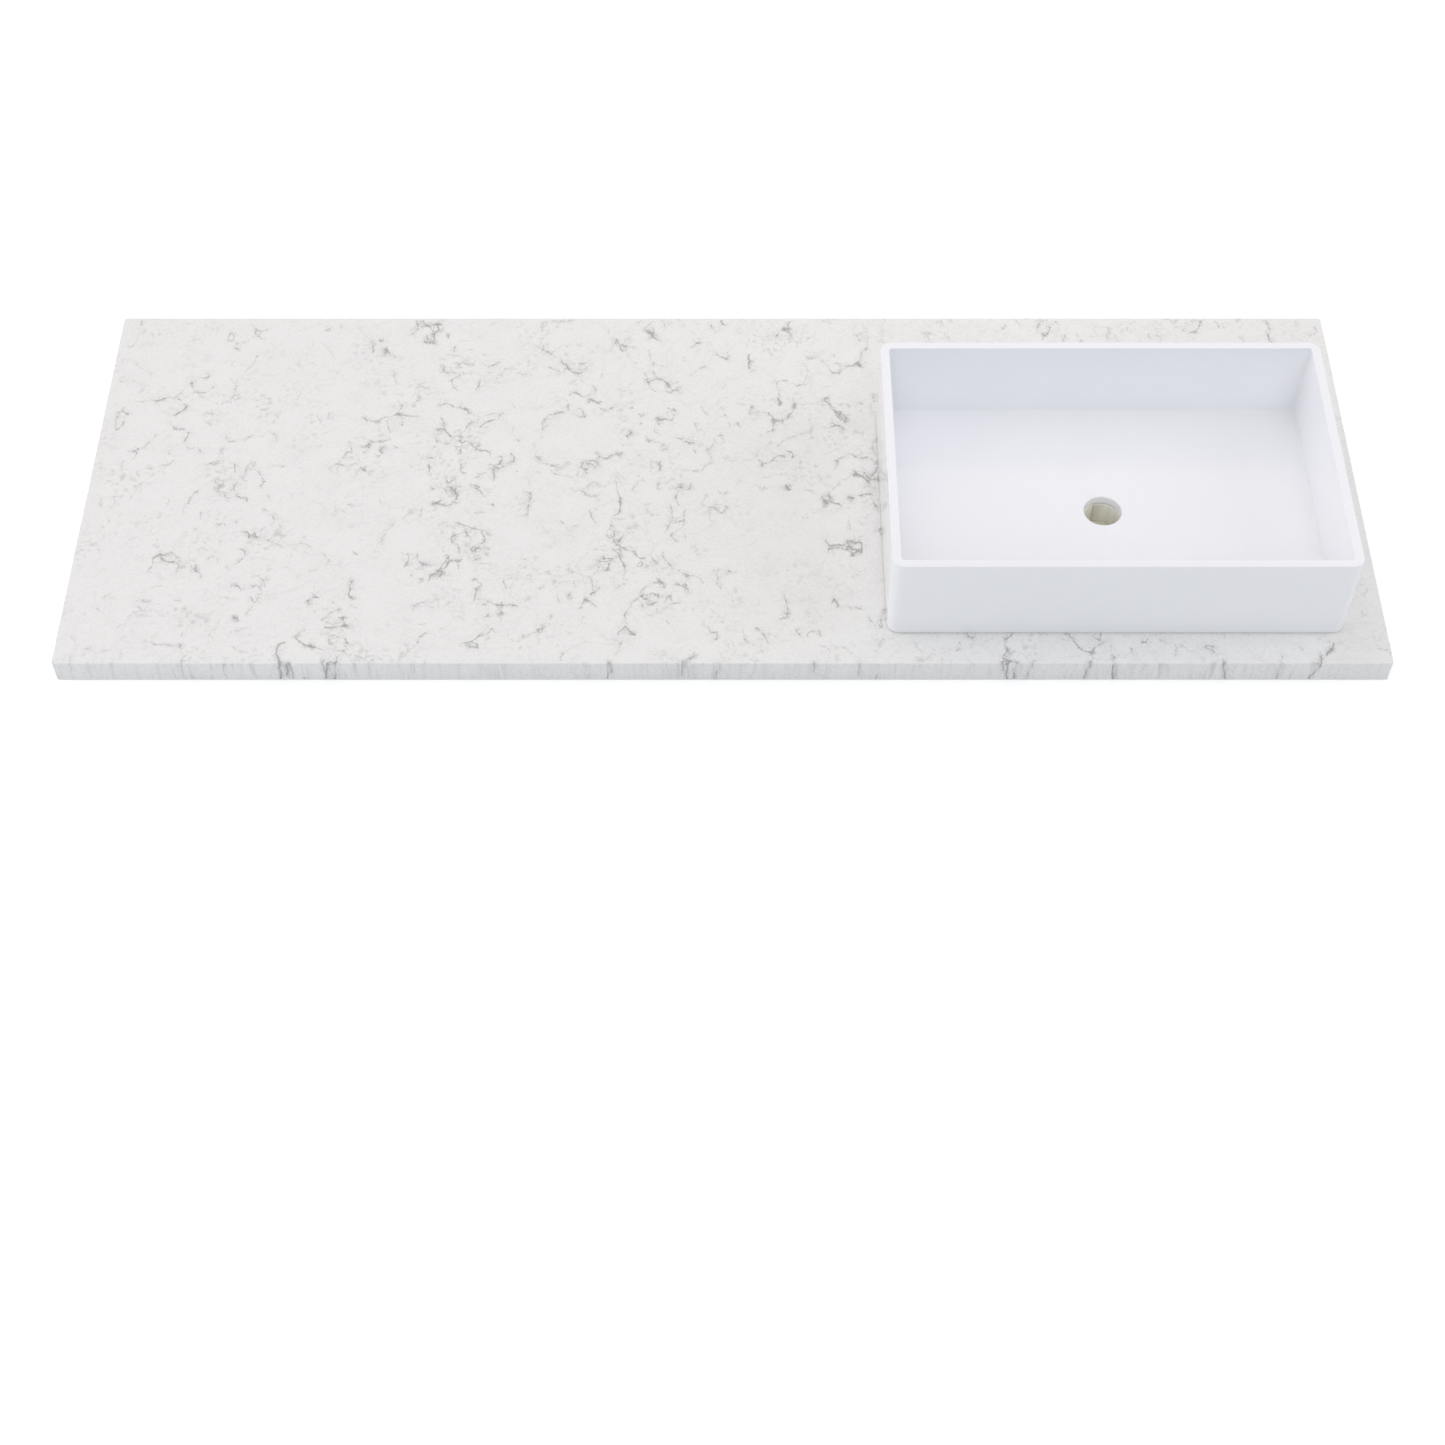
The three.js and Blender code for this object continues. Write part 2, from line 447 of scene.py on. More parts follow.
def glaze_finish():
    """Fireclay under a glossy white glaze, which waves a little and has a few pinholes. The foot is bare."""
    glaze = Finish("white_glaze")
    place = glaze.place
    height = glaze.parts(place)[2]

    slow_wave = glaze.noise(place, 16, 1.0)
    peel = glaze.noise(place, 420, 1.0)
    tone = glaze.noise(place, 9)
    pitted = glaze.noise(place, 60).rises(0.60, 0.68)
    pinholes = glaze.cells(place, 240, "Distance").falls(0.05, 0.12) * pitted

    bare = height.falls(basin_low.z + 0.3 * MM, basin_low.z + 0.7 * MM)
    specked = glaze.mix(pinholes * 0.25, glaze.mix(tone.rises(0.35, 0.65), *GLAZE), PINHOLE)
    fireclay = glaze.mix(glaze.noise(place, 500, 3.0), *FIRECLAY)
    rough = 0.02 + 0.03 * glaze.noise(place, 35)
    return glaze.surface({
        "Base Color": glaze.mix(bare, specked, fireclay),
        "Roughness": rough + bare * 0.6,
        "IOR": 1.5,
    }, slow_wave * 0.6 + peel * 0.004 - pinholes * 0.1, 0.12 * MM)


# Colours of the stone: its ground, the painted light that makes the left of the front face paler, grey smoke
# and pale grains in it, the veins, and the raw stone with its stains
GROUND = (0.874, 0.863, 0.846, 1), (0.892, 0.882, 0.865, 1)
PAINTED_FRONT_LIGHT = (0.97, 0.965, 0.96, 1)
SMOKE = (0.45, 0.45, 0.45, 1)
GRAIN = (0.94, 0.935, 0.93, 1)
VEIN = (0.340, 0.332, 0.328, 1)
RAW_STONE = (0.94, 0.925, 0.84, 1), (0.97, 0.96, 0.89, 1)
STAIN = (0.66, 0.63, 0.53, 1)

# The finish of an outer face sets in this far under it, and is full this near to it
FACE_FAR = 1.2 * MM
FACE_NEAR = 0.4 * MM


def drawn_grit(stone, body):
    """The drawn veins as crusts of dark grit, dense along the strokes and thin beside them."""
    vein = stone.attribute("vein")
    shade = stone.attribute("shade")
    grit = stone.noise(stone.wander(body, 500, 2 * MM), 420, 3.0) - 0.5
    patches = stone.noise(body, 130) - 0.5
    density = vein + shade * 0.30 + grit * 1.5 + patches * 0.9
    crust = density.rises(0.10, 0.95) * (vein * 0.85 + shade * 0.25 + 0.10).at_most(1)
    haze = (shade + grit * 2.0 + patches * 2.2).rises(0.0, 1.0) * (shade * 2.2).at_most(1) * 0.84
    return crust + haze + vein.rises(0.05, 0.75) * 0.22


def loose_veins(stone, body, ragged):
    """Veins that aren't drawn: along the edges of large chunks and, in crowds, of small crumbs."""
    beads = 0.55 + 0.9 * stone.noise(stone.place, 400)
    chunk_edge = stone.cell_edges(ragged, 19)
    thickness = 0.35 * MM + 0.9 * MM * stone.noise(body, 130).rises(0.35, 0.75)
    broken = stone.noise(body + (3.1, 1.7, 0.4), 24, 3.0).rises(0.49, 0.60)
    chunk_veins = (chunk_edge / thickness).falls(0.4, 1.6) * broken * beads
    crowd = stone.noise(body + (8.3, 2.9, 0.2), 11).rises(0.54, 0.66)
    crumb_breaks = stone.noise(body + (1.3, 5.1, 0.7), 70).rises(0.47, 0.62)
    crumb_edge = stone.cell_edges(ragged + (0.7, 0.2, 0), 62)
    crumb_veins = (crumb_edge / (0.9 * MM)).falls(0.2, 1.3) * crumb_breaks * crowd * beads
    halo = chunk_edge.falls(0.5 * MM, 7 * MM) * broken * stone.noise(body, 60).rises(0.40, 0.62)
    return chunk_veins + crumb_veins * 0.85 + halo * 0.16


def raw_stone(stone, from_drain, drilled, drill_marks):
    """The colour of the raw stone. Stains run down the drain's bore, and at its back there is a darker seam
    with a shade to its right."""
    flow = stone.noise(stone.place * (1, 1, 0.05), 190)
    x, y, _ = stone.parts(from_drain)
    seam = (x + BORE_SEAM).absolute().falls(0.6 * MM, 2.4 * MM)
    shaded = x.rises(-BORE_SEAM - 1 * MM, -BORE_SEAM) * x.falls(-1 * MM, 5 * MM)
    marks = (seam * 0.7 + shaded * 0.45) * y.rises(0, 1 * MM)
    stained = (flow.rises(0.42, 0.66) * 0.20 + marks).at_most(1) * drilled
    return stone.mix(stained, stone.mix(drill_marks, *RAW_STONE), STAIN)


def quartz_finish():
    """Engineered quartz: a white ground of crushed grains with broken dark veins. The main veins of the top
    and the front are drawn on the mesh. The fainter ones, and those of the other sides, are made here."""
    stone = Finish("veined_quartz")
    place = stone.place
    x, y, height = stone.parts(place)
    half = slab_size / 2
    ends = x.absolute().rises(half.x - FACE_FAR, half.x - FACE_NEAR)
    back = y.rises(half.y - FACE_FAR, half.y - FACE_NEAR)
    front = y.falls(FACE_NEAR - half.y, FACE_FAR - half.y)
    underside = height.falls(0.5 * MM, FACE_FAR)
    undrawn = ends.at_least(back).at_least(underside)

    # The pour is drawn out downwards, so that the veins run on down the edges as streaks
    body = place * (1, 1, 0.12)
    ragged = body
    for scale, reach in ((14, 30 * MM), (90, 7 * MM), (420, 1.6 * MM)):
        ragged = stone.wander(ragged, scale, reach)
    streaks = stone.noise(place * (1, 1, 0.08), 280, 3.0).rises(0.50, 0.78) * undrawn.at_least(front)
    smudged = stone.noise(body + (5.3, 0.9, 0.1), 18).rises(0.46, 0.66)
    smudges = stone.noise(ragged, 150, 3.0).rises(0.50, 0.74) * smudged
    drawn_and_loose = drawn_grit(stone, body) + loose_veins(stone, body, ragged) * (0.10 + 0.85 * undrawn)
    veins = (drawn_and_loose + smudges * 0.42 + streaks * (0.30 - 0.12 * front)).at_most(1)

    # The ground: crushed grains under a faint grey mottling; painted light makes the front paler towards the
    # left
    grains = stone.node("ShaderNodeSeparateColor", {}, [stone.cells(place, 620)], "Red")
    mottle = stone.noise(body, 26, 4.0)
    smoke = stone.noise(body + (2.2, 6.1, 0.3), 120, 3.0).rises(0.52, 0.74)
    ground = stone.mix(mottle.rises(0.3, 0.7), *GROUND)
    # Painted light: the front face is lightened towards its left end, as if lit more brightly there
    ground_with_painted_light = stone.mix(front * x.falls(-0.70, 0.10) * 0.65, ground, PAINTED_FRONT_LIGHT)
    smoked = stone.mix(smoke * 0.04, ground_with_painted_light, SMOKE)
    grained = stone.mix(grains.rises(0.45, 1.0) * 0.22, smoked, GRAIN)

    # Even a thin vein darkens the ground well, and only the heart of a dense one comes near its full grey
    depth = veins * (1.13 - 0.71 * veins) + 0.39 * veins ** 6
    veined = stone.mix(depth, grained, VEIN)

    # Where the drain is drilled, and on the underside, the stone is raw
    from_drain = (place - (drain.x, drain.y, 0)) * (1, 1, 0)
    drilled = from_drain.length().falls(DRAIN_RADIUS + 0.4 * MM, DRAIN_RADIUS + 1.0 * MM)
    raw = drilled.at_least(underside)
    drill_marks = stone.noise(place * (1, 1, 14), 120)
    return stone.surface({
        "Base Color": stone.mix(raw, veined, raw_stone(stone, from_drain, drilled, drill_marks)),
        "Roughness": 0.22 + 0.08 * mottle + 0.05 * grains + raw * 0.4,
        "IOR": 1.5,
    }, drill_marks * raw, 0.2 * MM)


def silicone_finish(name, colour, dusty):
    """Satin sealant, a little cloudy and dusty."""
    sealant = Finish(name)
    cloud = sealant.noise(sealant.place, 90)
    dust = sealant.noise(sealant.place, 900).rises(0.6, 0.8)
    toned = sealant.mix(cloud, (*[part * 0.9 for part in colour], 1), (*colour, 1))
    return sealant.surface({
        "Base Color": sealant.mix(dust * 0.3, toned, (*dusty, 1)),
        "Roughness": 0.35 + 0.2 * cloud,
        "Subsurface Weight": 0.2,
        "Subsurface Radius": (2 * MM, 2 * MM, 2 * MM),
    }, cloud + dust * 0.2, 0.1 * MM)


def vessel_basin():
    """The basin's section runs up the outside, over the rim, down to the floor and through the drain."""
    top = basin_high.z
    floor = slab_high.z + FLOOR_HEIGHT
    underside = seal_high.z
    wall_foot = WALL_THICKNESS + WALL_DRAFT
    wall = [
        Vector((FOOT_WIDTH, underside)),
        Vector((FOOT_WIDTH, basin_low.z)),
        *arc((FOOT_ARRIS, basin_low.z + FOOT_ARRIS), FOOT_ARRIS, -90, -180),
        *arc((RIM_ARRIS, top - RIM_ARRIS), RIM_ARRIS, 180, 90),
        *arc((WALL_THICKNESS - RIM_ARRIS, top - RIM_ARRIS), RIM_ARRIS, 90, 0),
        *arc((wall_foot + FLOOR_FILLET, floor + FLOOR_FILLET), FLOOR_FILLET, 180, 270),
    ]
    drain_edge = [
        *arc((DRAIN_RADIUS + DRAIN_EDGE_RADIUS, floor - DRAIN_EDGE_RADIUS), DRAIN_EDGE_RADIUS, 90, 180),
        Vector((DRAIN_RADIUS, underside)),
    ]

    def corner_radius(inset):
        """Tightens through the wall, and shrinks with the fillet into a ball corner at the floor."""
        share = min(inset / WALL_THICKNESS, 1)
        through_wall = BASIN_CORNER_RADIUS + (INNER_CORNER_RADIUS - BASIN_CORNER_RADIUS) * share
        return max(through_wall - max(inset - wall_foot, 0), BALL_CORNER_RADIUS)

    levels = rectangle_levels(wall, corner_radius) + circle_levels(drain_edge)
    basin = drawn_rings("glazed_basin", levels, basin_size, BASIN_CENTRE, glaze_finish())
    close_up(basin.data)
    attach(basin, "root")
    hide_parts("vessel_basin")


# The dark veins, drawn on the stone's skin: its top and, past 559, its front face, laid flat. Each
# stroke is its darkness, then the points that it runs through, as millimetres from the left end and from the
# back edge
DRAWN_VEINS = {
    "back left": """
        50 60,1 63,3 / 50 22,6 22,13 / 45 20,40 18,48 14,53 11,51 / 35 28,82 33,88 41,94 46,97 53,98 / 35
        16,103 10,106 12,112 20,111 29,110 / 40 40,120 48,120 / 35 35,147 43,148 52,146 60,147 66,144 / 90
        65,145 71,142 / 70 71,142 78,140 83,142 88,135 92,128 / 70 89,143 92,146 / 30 92,146 99,157 / 95
        99,157 95,162 91,167 86,171 / 60 101,115 102,121 106,128 112,133 119,133 / 50 123,131 126,126
        129,122 / 50 116,98 121,101 119,106 112,107 / 40 98,119 102,114 / 40 118,139 124,142 / 50 140,27
        137,33 136,39 142,42 143,34 140,27 / 50 165,14 170,22 170,27 176,34 184,40 / 45 170,23 180,23 189,19 /
        45 149,46 155,44 160,44 / 70 149,55 152,56 / 40 167,35 170,27 / 50 177,68 175,75 173,84 / 45 170,89
        166,94 165,98 / 50 147,107 152,112 155,116 158,121 / 65 155,125 157,128 / 45 156,137 154,142 148,149 /
        40 171,108 171,110 / 35 190,70 198,72 / 35 190,103 200,102 208,98 / 35 209,59 211,63 / 35 235,52
        242,55 245,47 / 85 16,166 22,165 29,169 / 70 21,160 22,165 / 60 18,172 16,180 17,188 19,196 24,190
        26,183 / 35 76,181 80,186 84,182 / 70 89,190 93,195 98,195 / 60 99,192 102,194 / 95 109,200 108,206
        105,213 / 50 109,222 113,227 118,226 / 45 124,228 128,231 131,234 / 55 69,205 65,212 60,219 55,226
        50,229 / 50 50,226 50,235 48,242 44,245 / 40 40,231 48,230 / 35 36,247 34,254 35,262 / 50 89,230
        88,237 / 35 93,238 98,241 / 40 25,262 27,270 / 45 80,256 86,254 92,252 96,246 / 50 68,258 / 35 68,260
        78,258 / 50 155,203 156,210 160,214 166,215 / 35 177,214 183,209 190,205 195,207 202,203 204,197 / 35
        208,198 215,205 217,212 / 60 153,226 / 55 150,231 154,235 / 40 137,253 143,251 148,247 157,248 / 40
        146,255 150,250 / 70 171,252 172,258 174,265 / 50 190,250 187,257 186,264 184,272 184,277 / 45 196,260
        201,264 205,272 209,277 / 50 195,250 194,257 / 35 217,254 225,256 233,257 / 35 217,165 214,176
        208,183 / 45 141,180 / 35 126,166 130,170 / 35 127,182 134,188
    """,
    "front left": """
        60 150,277 153,283 157,288 / 50 162,280 161,286 / 45 156,290 157,300 / 75 178,281 176,287 175,294 / 50
        210,281 207,288 / 60 164,301 168,306 174,307 178,305 / 80 181,304 186,307 191,307 193,312 / 40 166,305
        169,312 174,311 / 40 217,301 220,308 / 40 199,320 / 35 28,305 20,308 19,316 23,325 / 35 33,305 35,315
        33,323 / 40 99,308 99,318 / 70 132,296 127,302 124,309 124,315 / 45 119,323 120,331 / 65 140,331
        141,341 / 35 133,354 138,357 / 35 126,364 / 35 67,353 / 60 90,421 94,412 93,405 96,400 101,396 / 70
        101,396 104,398 108,397 / 60 108,397 113,393 118,396 121,400 126,402 / 85 102,402 106,403 / 75 104,405
        111,407 120,408 / 55 120,408 125,414 123,423 / 45 131,413 136,409 141,414 / 75 145,412 147,418
        146,421 / 55 146,421 151,423 154,430 / 35 109,386 / 45 159,402 164,399 168,403 170,407 / 35 146,388 /
        35 162,388 / 70 164,350 169,347 173,351 / 60 185,347 / 55 192,360 197,362 / 95 199,360 202,365
        203,371 / 85 208,362 209,365 / 40 210,367 213,372 / 60 194,388 199,391 201,396 / 75 189,411 195,407
        199,403 / 35 180,414 187,421 / 60 226,336 230,344 / 50 215,326 222,329 / 45 236,350 240,358 237,365
        241,366 / 65 224,374 229,370 / 40 231,377 238,381 245,385 / 85 224,433 228,437 / 45 216,446 220,443
        224,448 228,453 225,457 / 45 229,441 231,446 / 75 197,444 200,446 203,450 / 40 191,443 / 75 216,463
        220,469 223,465 / 55 219,472 216,480 212,487 / 95 199,488 199,491 / 90 202,492 205,495 / 40 198,513
        205,511 212,508 216,505 / 35 205,514 208,519 / 45 148,504 152,500 157,496 / 50 140,498 / 45 143,513
        143,520 / 55 108,528 113,531 120,531 127,530 / 35 130,532 138,535 144,534 / 35 142,530 145,537
        146,545 / 50 150,548 147,556 147,570 147,589 / 55 17,520 20,523 23,528 / 35 24,537 / 35 36,537
        44,539 / 35 55,541 64,540 / 45 79,489 84,484 90,481 95,482 97,476 / 45 88,468 100,468 / 40 67,506
        72,502 / 40 76,499 / 40 46,460 52,455 / 40 53,463 58,464 / 35 40,478 46,483 52,487 / 40 125,462
        128,466 135,466 / 35 98,447 103,444 111,444 / 35 36,420 / 35 174,515 176,521 / 35 168,503 / 35
        175,528 / 40 172,541 / 40 204,536 208,540 / 35 197,549 196,558 194,570 195,580 / 35 20,545 20,570
        18,588
    """,
    "back, left of the middle": """
        35 250,1 254,3 / 40 260,17 260,24 / 40 264,18 263,25 / 35 277,14 278,24 / 40 258,47 262,51 266,56
        269,63 / 35 301,20 306,26 310,32 / 75 329,39 331,42 334,40 / 75 321,49 322,56 322,63 / 90 339,52
        337,57 340,60 / 60 340,60 337,63 / 45 343,63 348,69 / 55 355,70 359,73 / 45 361,88 / 45 339,88 / 55
        346,96 / 40 352,97 / 50 352,102 354,108 355,115 / 35 334,107 334,117 / 40 276,94 / 35 255,101 / 35
        260,129 / 75 372,5 374,12 376,20 / 60 376,20 371,26 365,32 / 80 380,2 382,9 387,13 / 60 387,13 392,19
        396,26 / 55 388,14 398,13 / 85 397,12 405,12 / 85 399,13 402,20 398,26 395,29 / 90 397,30 398,36
        398,40 / 85 396,43 397,45 / 85 385,43 388,44 / 50 388,44 396,44 / 60 388,31 389,39 / 60 407,24 / 65
        413,30 415,36 / 75 407,57 / 50 425,50 424,59 / 35 429,43 436,41 442,40 / 50 453,35 / 45 440,57
        446,57 / 45 461,66 / 50 419,71 / 60 431,84 437,82 444,83 / 45 409,83 / 65 414,87 413,95 418,98 / 55
        423,95 426,98 / 50 429,91 / 70 469,88 475,83 483,78 / 35 465,76 / 35 499,85 492,93 484,100 / 60
        490,91 / 50 480,108 / 50 434,102 428,107 425,113 427,121 431,128 / 70 461,110 459,118 456,127 / 35
        393,127 387,131 384,135 / 50 386,138 386,142 384,148 / 35 436,109 439,116 / 60 412,154 418,152 425,152
        431,157 438,159 443,161 / 75 443,159 447,163 449,168 / 50 457,170 / 75 321,174 324,178 / 35 305,177
        312,176 / 35 326,181 336,182 / 50 339,181 346,175 354,173 361,168 / 55 361,168 364,161 367,153 / 65
        361,168 369,171 378,173 387,172 / 50 350,181 352,189 355,200 / 60 368,181 369,188 / 25 340,182 341,198
        343,210 / 60 342,213 348,216 351,214 / 60 355,211 / 45 323,208 334,215 340,217 / 50 321,223 328,221
        332,219 / 45 330,218 331,225 / 50 324,233 329,230 / 50 345,222 344,229 347,234 / 50 346,226 352,222 /
        55 339,235 345,238 348,232 / 45 361,223 367,226 / 35 373,232 / 60 312,233 306,233 303,238 300,244 / 55
        308,222 311,229 / 45 286,257 293,253 300,253 306,258 310,261 / 35 299,246 299,252 / 40 282,196
        275,201 / 35 262,193 / 35 262,172 268,182 273,188 / 60 325,258 327,261 / 50 327,261 333,266 337,270 /
        35 316,273 / 75 406,254 407,260 407,265 / 60 406,242 411,242 / 65 411,209 413,215 / 45 426,218 / 35
        394,245 400,243 / 35 383,250 385,257 / 45 415,175 419,181 422,188 / 60 412,195 417,193 / 85 417,192
        422,196 426,202 430,208 / 55 430,208 437,206 444,208 / 90 441,213 443,217 448,214 / 95 443,227
        444,234 / 90 455,219 459,224 464,222 / 75 462,228 467,230 474,231 478,233 480,237 / 90 454,183 / 50
        451,186 448,192 445,199 / 45 453,192 452,200 / 85 465,190 470,184 476,181 483,177 / 55 470,171 477,169
        483,168 489,171 / 60 487,173 486,178 / 50 489,164 492,168 / 40 462,172 463,182 / 35 485,206 / 80
        490,239 495,242 493,249 / 80 480,252 487,254 493,251 / 85 487,258 492,259 497,256 / 75 484,262 486,270
        487,278 / 50 446,252 445,261 450,266 / 50 465,267 472,268 476,266 / 50 464,275 467,274
    """,
    "front, left of the middle": """
        70 429,277 433,283 437,278 / 60 428,292 431,298 436,306 / 70 434,290 440,295 / 90 442,292 441,298
        445,303 443,310 / 60 440,313 445,317 / 70 414,317 421,313 425,311 / 75 418,315 425,317 432,320
        437,317 / 75 412,290 414,293 / 65 465,287 470,290 / 75 466,291 471,297 476,303 / 55 460,288 / 40
        447,289 / 65 486,318 489,320 / 45 467,331 473,329 479,331 / 35 450,330 / 35 457,332 / 35 351,307
        355,315 / 45 391,325 398,326 / 45 382,341 388,332 / 35 378,334 / 30 404,322 402,333 399,344 / 40
        374,347 366,357 361,368 358,377 / 45 334,376 / 45 260,381 267,378 273,381 279,386 / 35 271,395
        277,394 / 40 270,369 / 45 291,392 297,399 299,406 298,416 / 45 303,413 311,412 / 55 279,422 285,420 /
        35 250,414 256,419 / 35 268,429 / 45 326,391 333,396 / 45 284,453 291,459 / 65 283,470 285,465 289,462
        293,461 / 65 282,467 284,472 / 95 330,437 328,444 330,450 328,457 333,464 / 50 319,480 312,484 306,490
        301,496 / 40 297,493 / 60 320,491 327,490 / 75 326,494 328,503 / 85 305,506 312,507 320,505 328,503 /
        70 308,499 315,501 / 50 330,504 333,508 / 40 304,516 309,514 / 40 314,517 324,520 / 70 283,510 / 50
        278,514 270,521 / 90 274,522 279,527 286,532 292,535 / 95 291,531 293,535 / 60 293,535 300,537
        307,539 / 60 312,523 313,529 316,530 / 80 330,522 333,528 336,531 / 80 331,533 334,533 / 50 320,540
        328,541 334,544 / 60 309,556 314,552 318,556 / 50 323,548 325,558 / 80 262,528 256,532 254,540 257,549
        258,559 / 90 258,559 258,570 259,576 256,586 / 75 267,559 267,570 264,580 / 50 271,557 272,575
        272,588 / 70 309,556 309,570 309,588 / 95 314,557 312,571 309,580 308,589 / 70 323,556 321,570
        319,588 / 60 284,585 286,589 / 50 346,507 / 35 348,518 / 55 377,502 / 40 365,510 / 45 347,540
        358,541 / 50 344,548 349,549 356,553 / 50 360,556 359,570 357,582 / 35 380,543 / 40 412,556 411,574 /
        55 414,502 421,500 / 50 422,514 417,519 414,528 409,537 / 55 404,541 / 35 438,506 442,508 / 50 457,489
        460,490 / 40 446,469 / 45 417,469 408,472 404,479 / 35 430,463 / 55 255,474 / 60 391,394 394,400
        393,408 389,414 / 45 386,395 / 40 387,402 392,412 / 55 403,396 403,401 407,408 411,412 / 70 411,412
        417,413 424,412 / 60 397,427 400,431 / 40 405,419 411,418 / 55 408,434 414,434 411,438 / 80 421,428
        425,427 / 60 421,428 420,437 / 60 440,400 435,409 430,419 427,427 / 60 441,408 437,417 / 75 440,400
        443,407 447,405 452,408 457,403 / 60 452,408 454,418 / 75 430,421 434,424 432,431 / 50 437,425 / 90
        443,378 442,370 446,366 / 85 446,366 452,363 459,361 461,366 / 45 463,367 466,374 / 50 450,381
        452,392 / 50 445,346 452,349 459,352 464,355 / 55 464,355 472,357 479,360 / 80 478,363 481,370 480,377
        476,380 / 65 484,364 488,367 / 75 472,386 470,391 466,389 468,384 472,386 / 70 474,387 480,387 / 45
        480,384 490,388 / 50 483,393 487,398 / 55 466,402 472,400 476,396 / 50 471,405 478,401 / 75 471,433
        475,433 / 70 474,434 478,439 482,443 478,446 / 75 476,448 475,456 475,468 / 55 485,464 492,468
        500,473 / 60 483,472 489,471 / 40 493,486 490,490 / 75 484,518 478,524 472,528 / 55 499,506 493,515
        484,519 / 50 463,529 470,528 / 95 474,535 479,535 / 80 475,528 481,531 482,536 / 45 433,386 434,393 /
        40 437,377
    """,
    "back middle": """
        45 534,1 540,3 545,4 / 45 550,3 557,5 563,7 568,5 / 35 551,6 553,18 / 40 534,8 532,16 533,25 / 45
        533,36 533,44 536,50 536,58 / 50 535,56 540,60 545,62 / 60 545,62 549,67 553,72 / 50 550,60 553,55
        558,51 / 45 563,48 566,53 / 50 579,49 581,51 / 45 565,66 569,69 / 45 597,56 598,60 / 55 559,73 561,80
        567,85 / 90 567,85 569,91 575,96 581,99 / 50 581,99 588,97 592,93 / 80 573,82 576,82 / 85 583,82
        589,82 591,79 / 35 587,91 592,88 596,84 / 50 564,90 563,98 / 45 545,90 549,90 554,93 560,95 / 35
        612,101 612,104 / 45 620,36 625,35 / 75 628,39 632,48 634,54 636,60 / 60 627,44 629,51 / 60 635,48
        638,52 / 45 640,52 651,52 / 35 617,22 618,26 / 50 641,1 643,2 / 40 660,2 655,9 / 50 670,8 667,14
        664,19 / 65 664,23 668,28 / 85 675,19 675,24 674,34 678,38 / 65 669,24 674,30 / 75 667,39 672,36 / 40
        680,40 686,44 / 60 684,2 687,9 689,16 / 70 706,2 710,2 / 60 669,56 669,59 / 35 669,60 672,75 / 45
        675,80 674,89 / 35 686,76 / 45 665,97 668,105 669,114 / 60 675,95 678,102 / 65 674,112 679,110
        684,108 / 85 685,108 690,112 693,117 / 75 693,117 697,122 700,128 706,127 / 60 668,110 670,118 673,125
        679,130 / 55 690,128 697,132 702,128 / 40 651,100 / 35 646,118 649,116 / 35 713,70 716,76 / 35 721,52
        728,47 737,43 / 50 601,121 604,127 606,134 / 60 572,136 577,133 582,132 / 75 583,134 590,139 599,136 /
        90 598,143 604,147 609,151 / 100 609,151 612,147 / 60 597,148 / 35 547,132 554,132 / 40 549,143
        552,142 / 50 558,148 564,143 569,146 / 55 571,153 572,160 / 75 566,165 561,166 556,168 / 60 556,168
        549,169 546,174 543,179 / 50 543,179 541,187 542,194 / 45 540,204 541,209 / 35 532,220 534,225 / 45
        535,232 534,238 538,242 / 55 541,244 545,251 551,252 / 60 555,255 562,258 568,257 573,252 573,248 / 50
        501,151 504,156 507,160 / 35 533,160 539,156 / 55 585,158 590,166 592,174 / 35 576,166 582,171
        590,174 / 40 603,160 604,166 / 45 611,160 618,164 614,168 / 50 624,160 627,156 / 60 636,161 638,162 /
        50 648,159 650,158 / 35 633,126 638,131 641,128 / 45 658,167 662,174 665,169 / 90 661,186 663,184 / 90
        682,184 683,187 / 70 695,159 696,160 / 95 701,160 702,164 / 60 702,170 701,176 697,180 / 90 692,177
        687,179 683,178 / 60 679,175 682,176 / 65 679,193 678,198 684,202 / 75 647,197 650,200 647,205 / 50
        645,204 647,210 / 40 725,181 729,190 731,200 / 50 703,207 708,209 713,211 / 70 717,214 721,217 / 50
        723,217 726,218 / 70 728,230 729,234 / 35 668,205 671,213 / 50 673,215 680,211 / 50 675,218 683,216
        690,220 / 35 697,222 688,231 / 50 505,190 504,200 / 90 512,213 513,216 / 75 505,236 509,241 508,247 /
        35 508,247 502,251 / 45 609,232 613,239 / 60 613,240 620,243 626,242 / 50 622,240 632,236 640,234 / 50
        633,234 638,239 / 75 595,246 592,252 592,259 598,260 / 65 600,246 608,247 611,252 608,258 / 60 597,252
        604,253 609,258 / 60 596,262 598,268 / 35 640,222 650,222 / 60 688,246 685,254 687,260 / 55 684,252
        688,258 684,265 / 50 555,261 558,267 565,270 / 55 577,272 583,275 / 35 531,265 539,265 / 50 513,264
        514,265 / 50 637,270 634,275 632,279 / 40 712,262 720,263 726,264 / 45 711,270 713,276
    """,
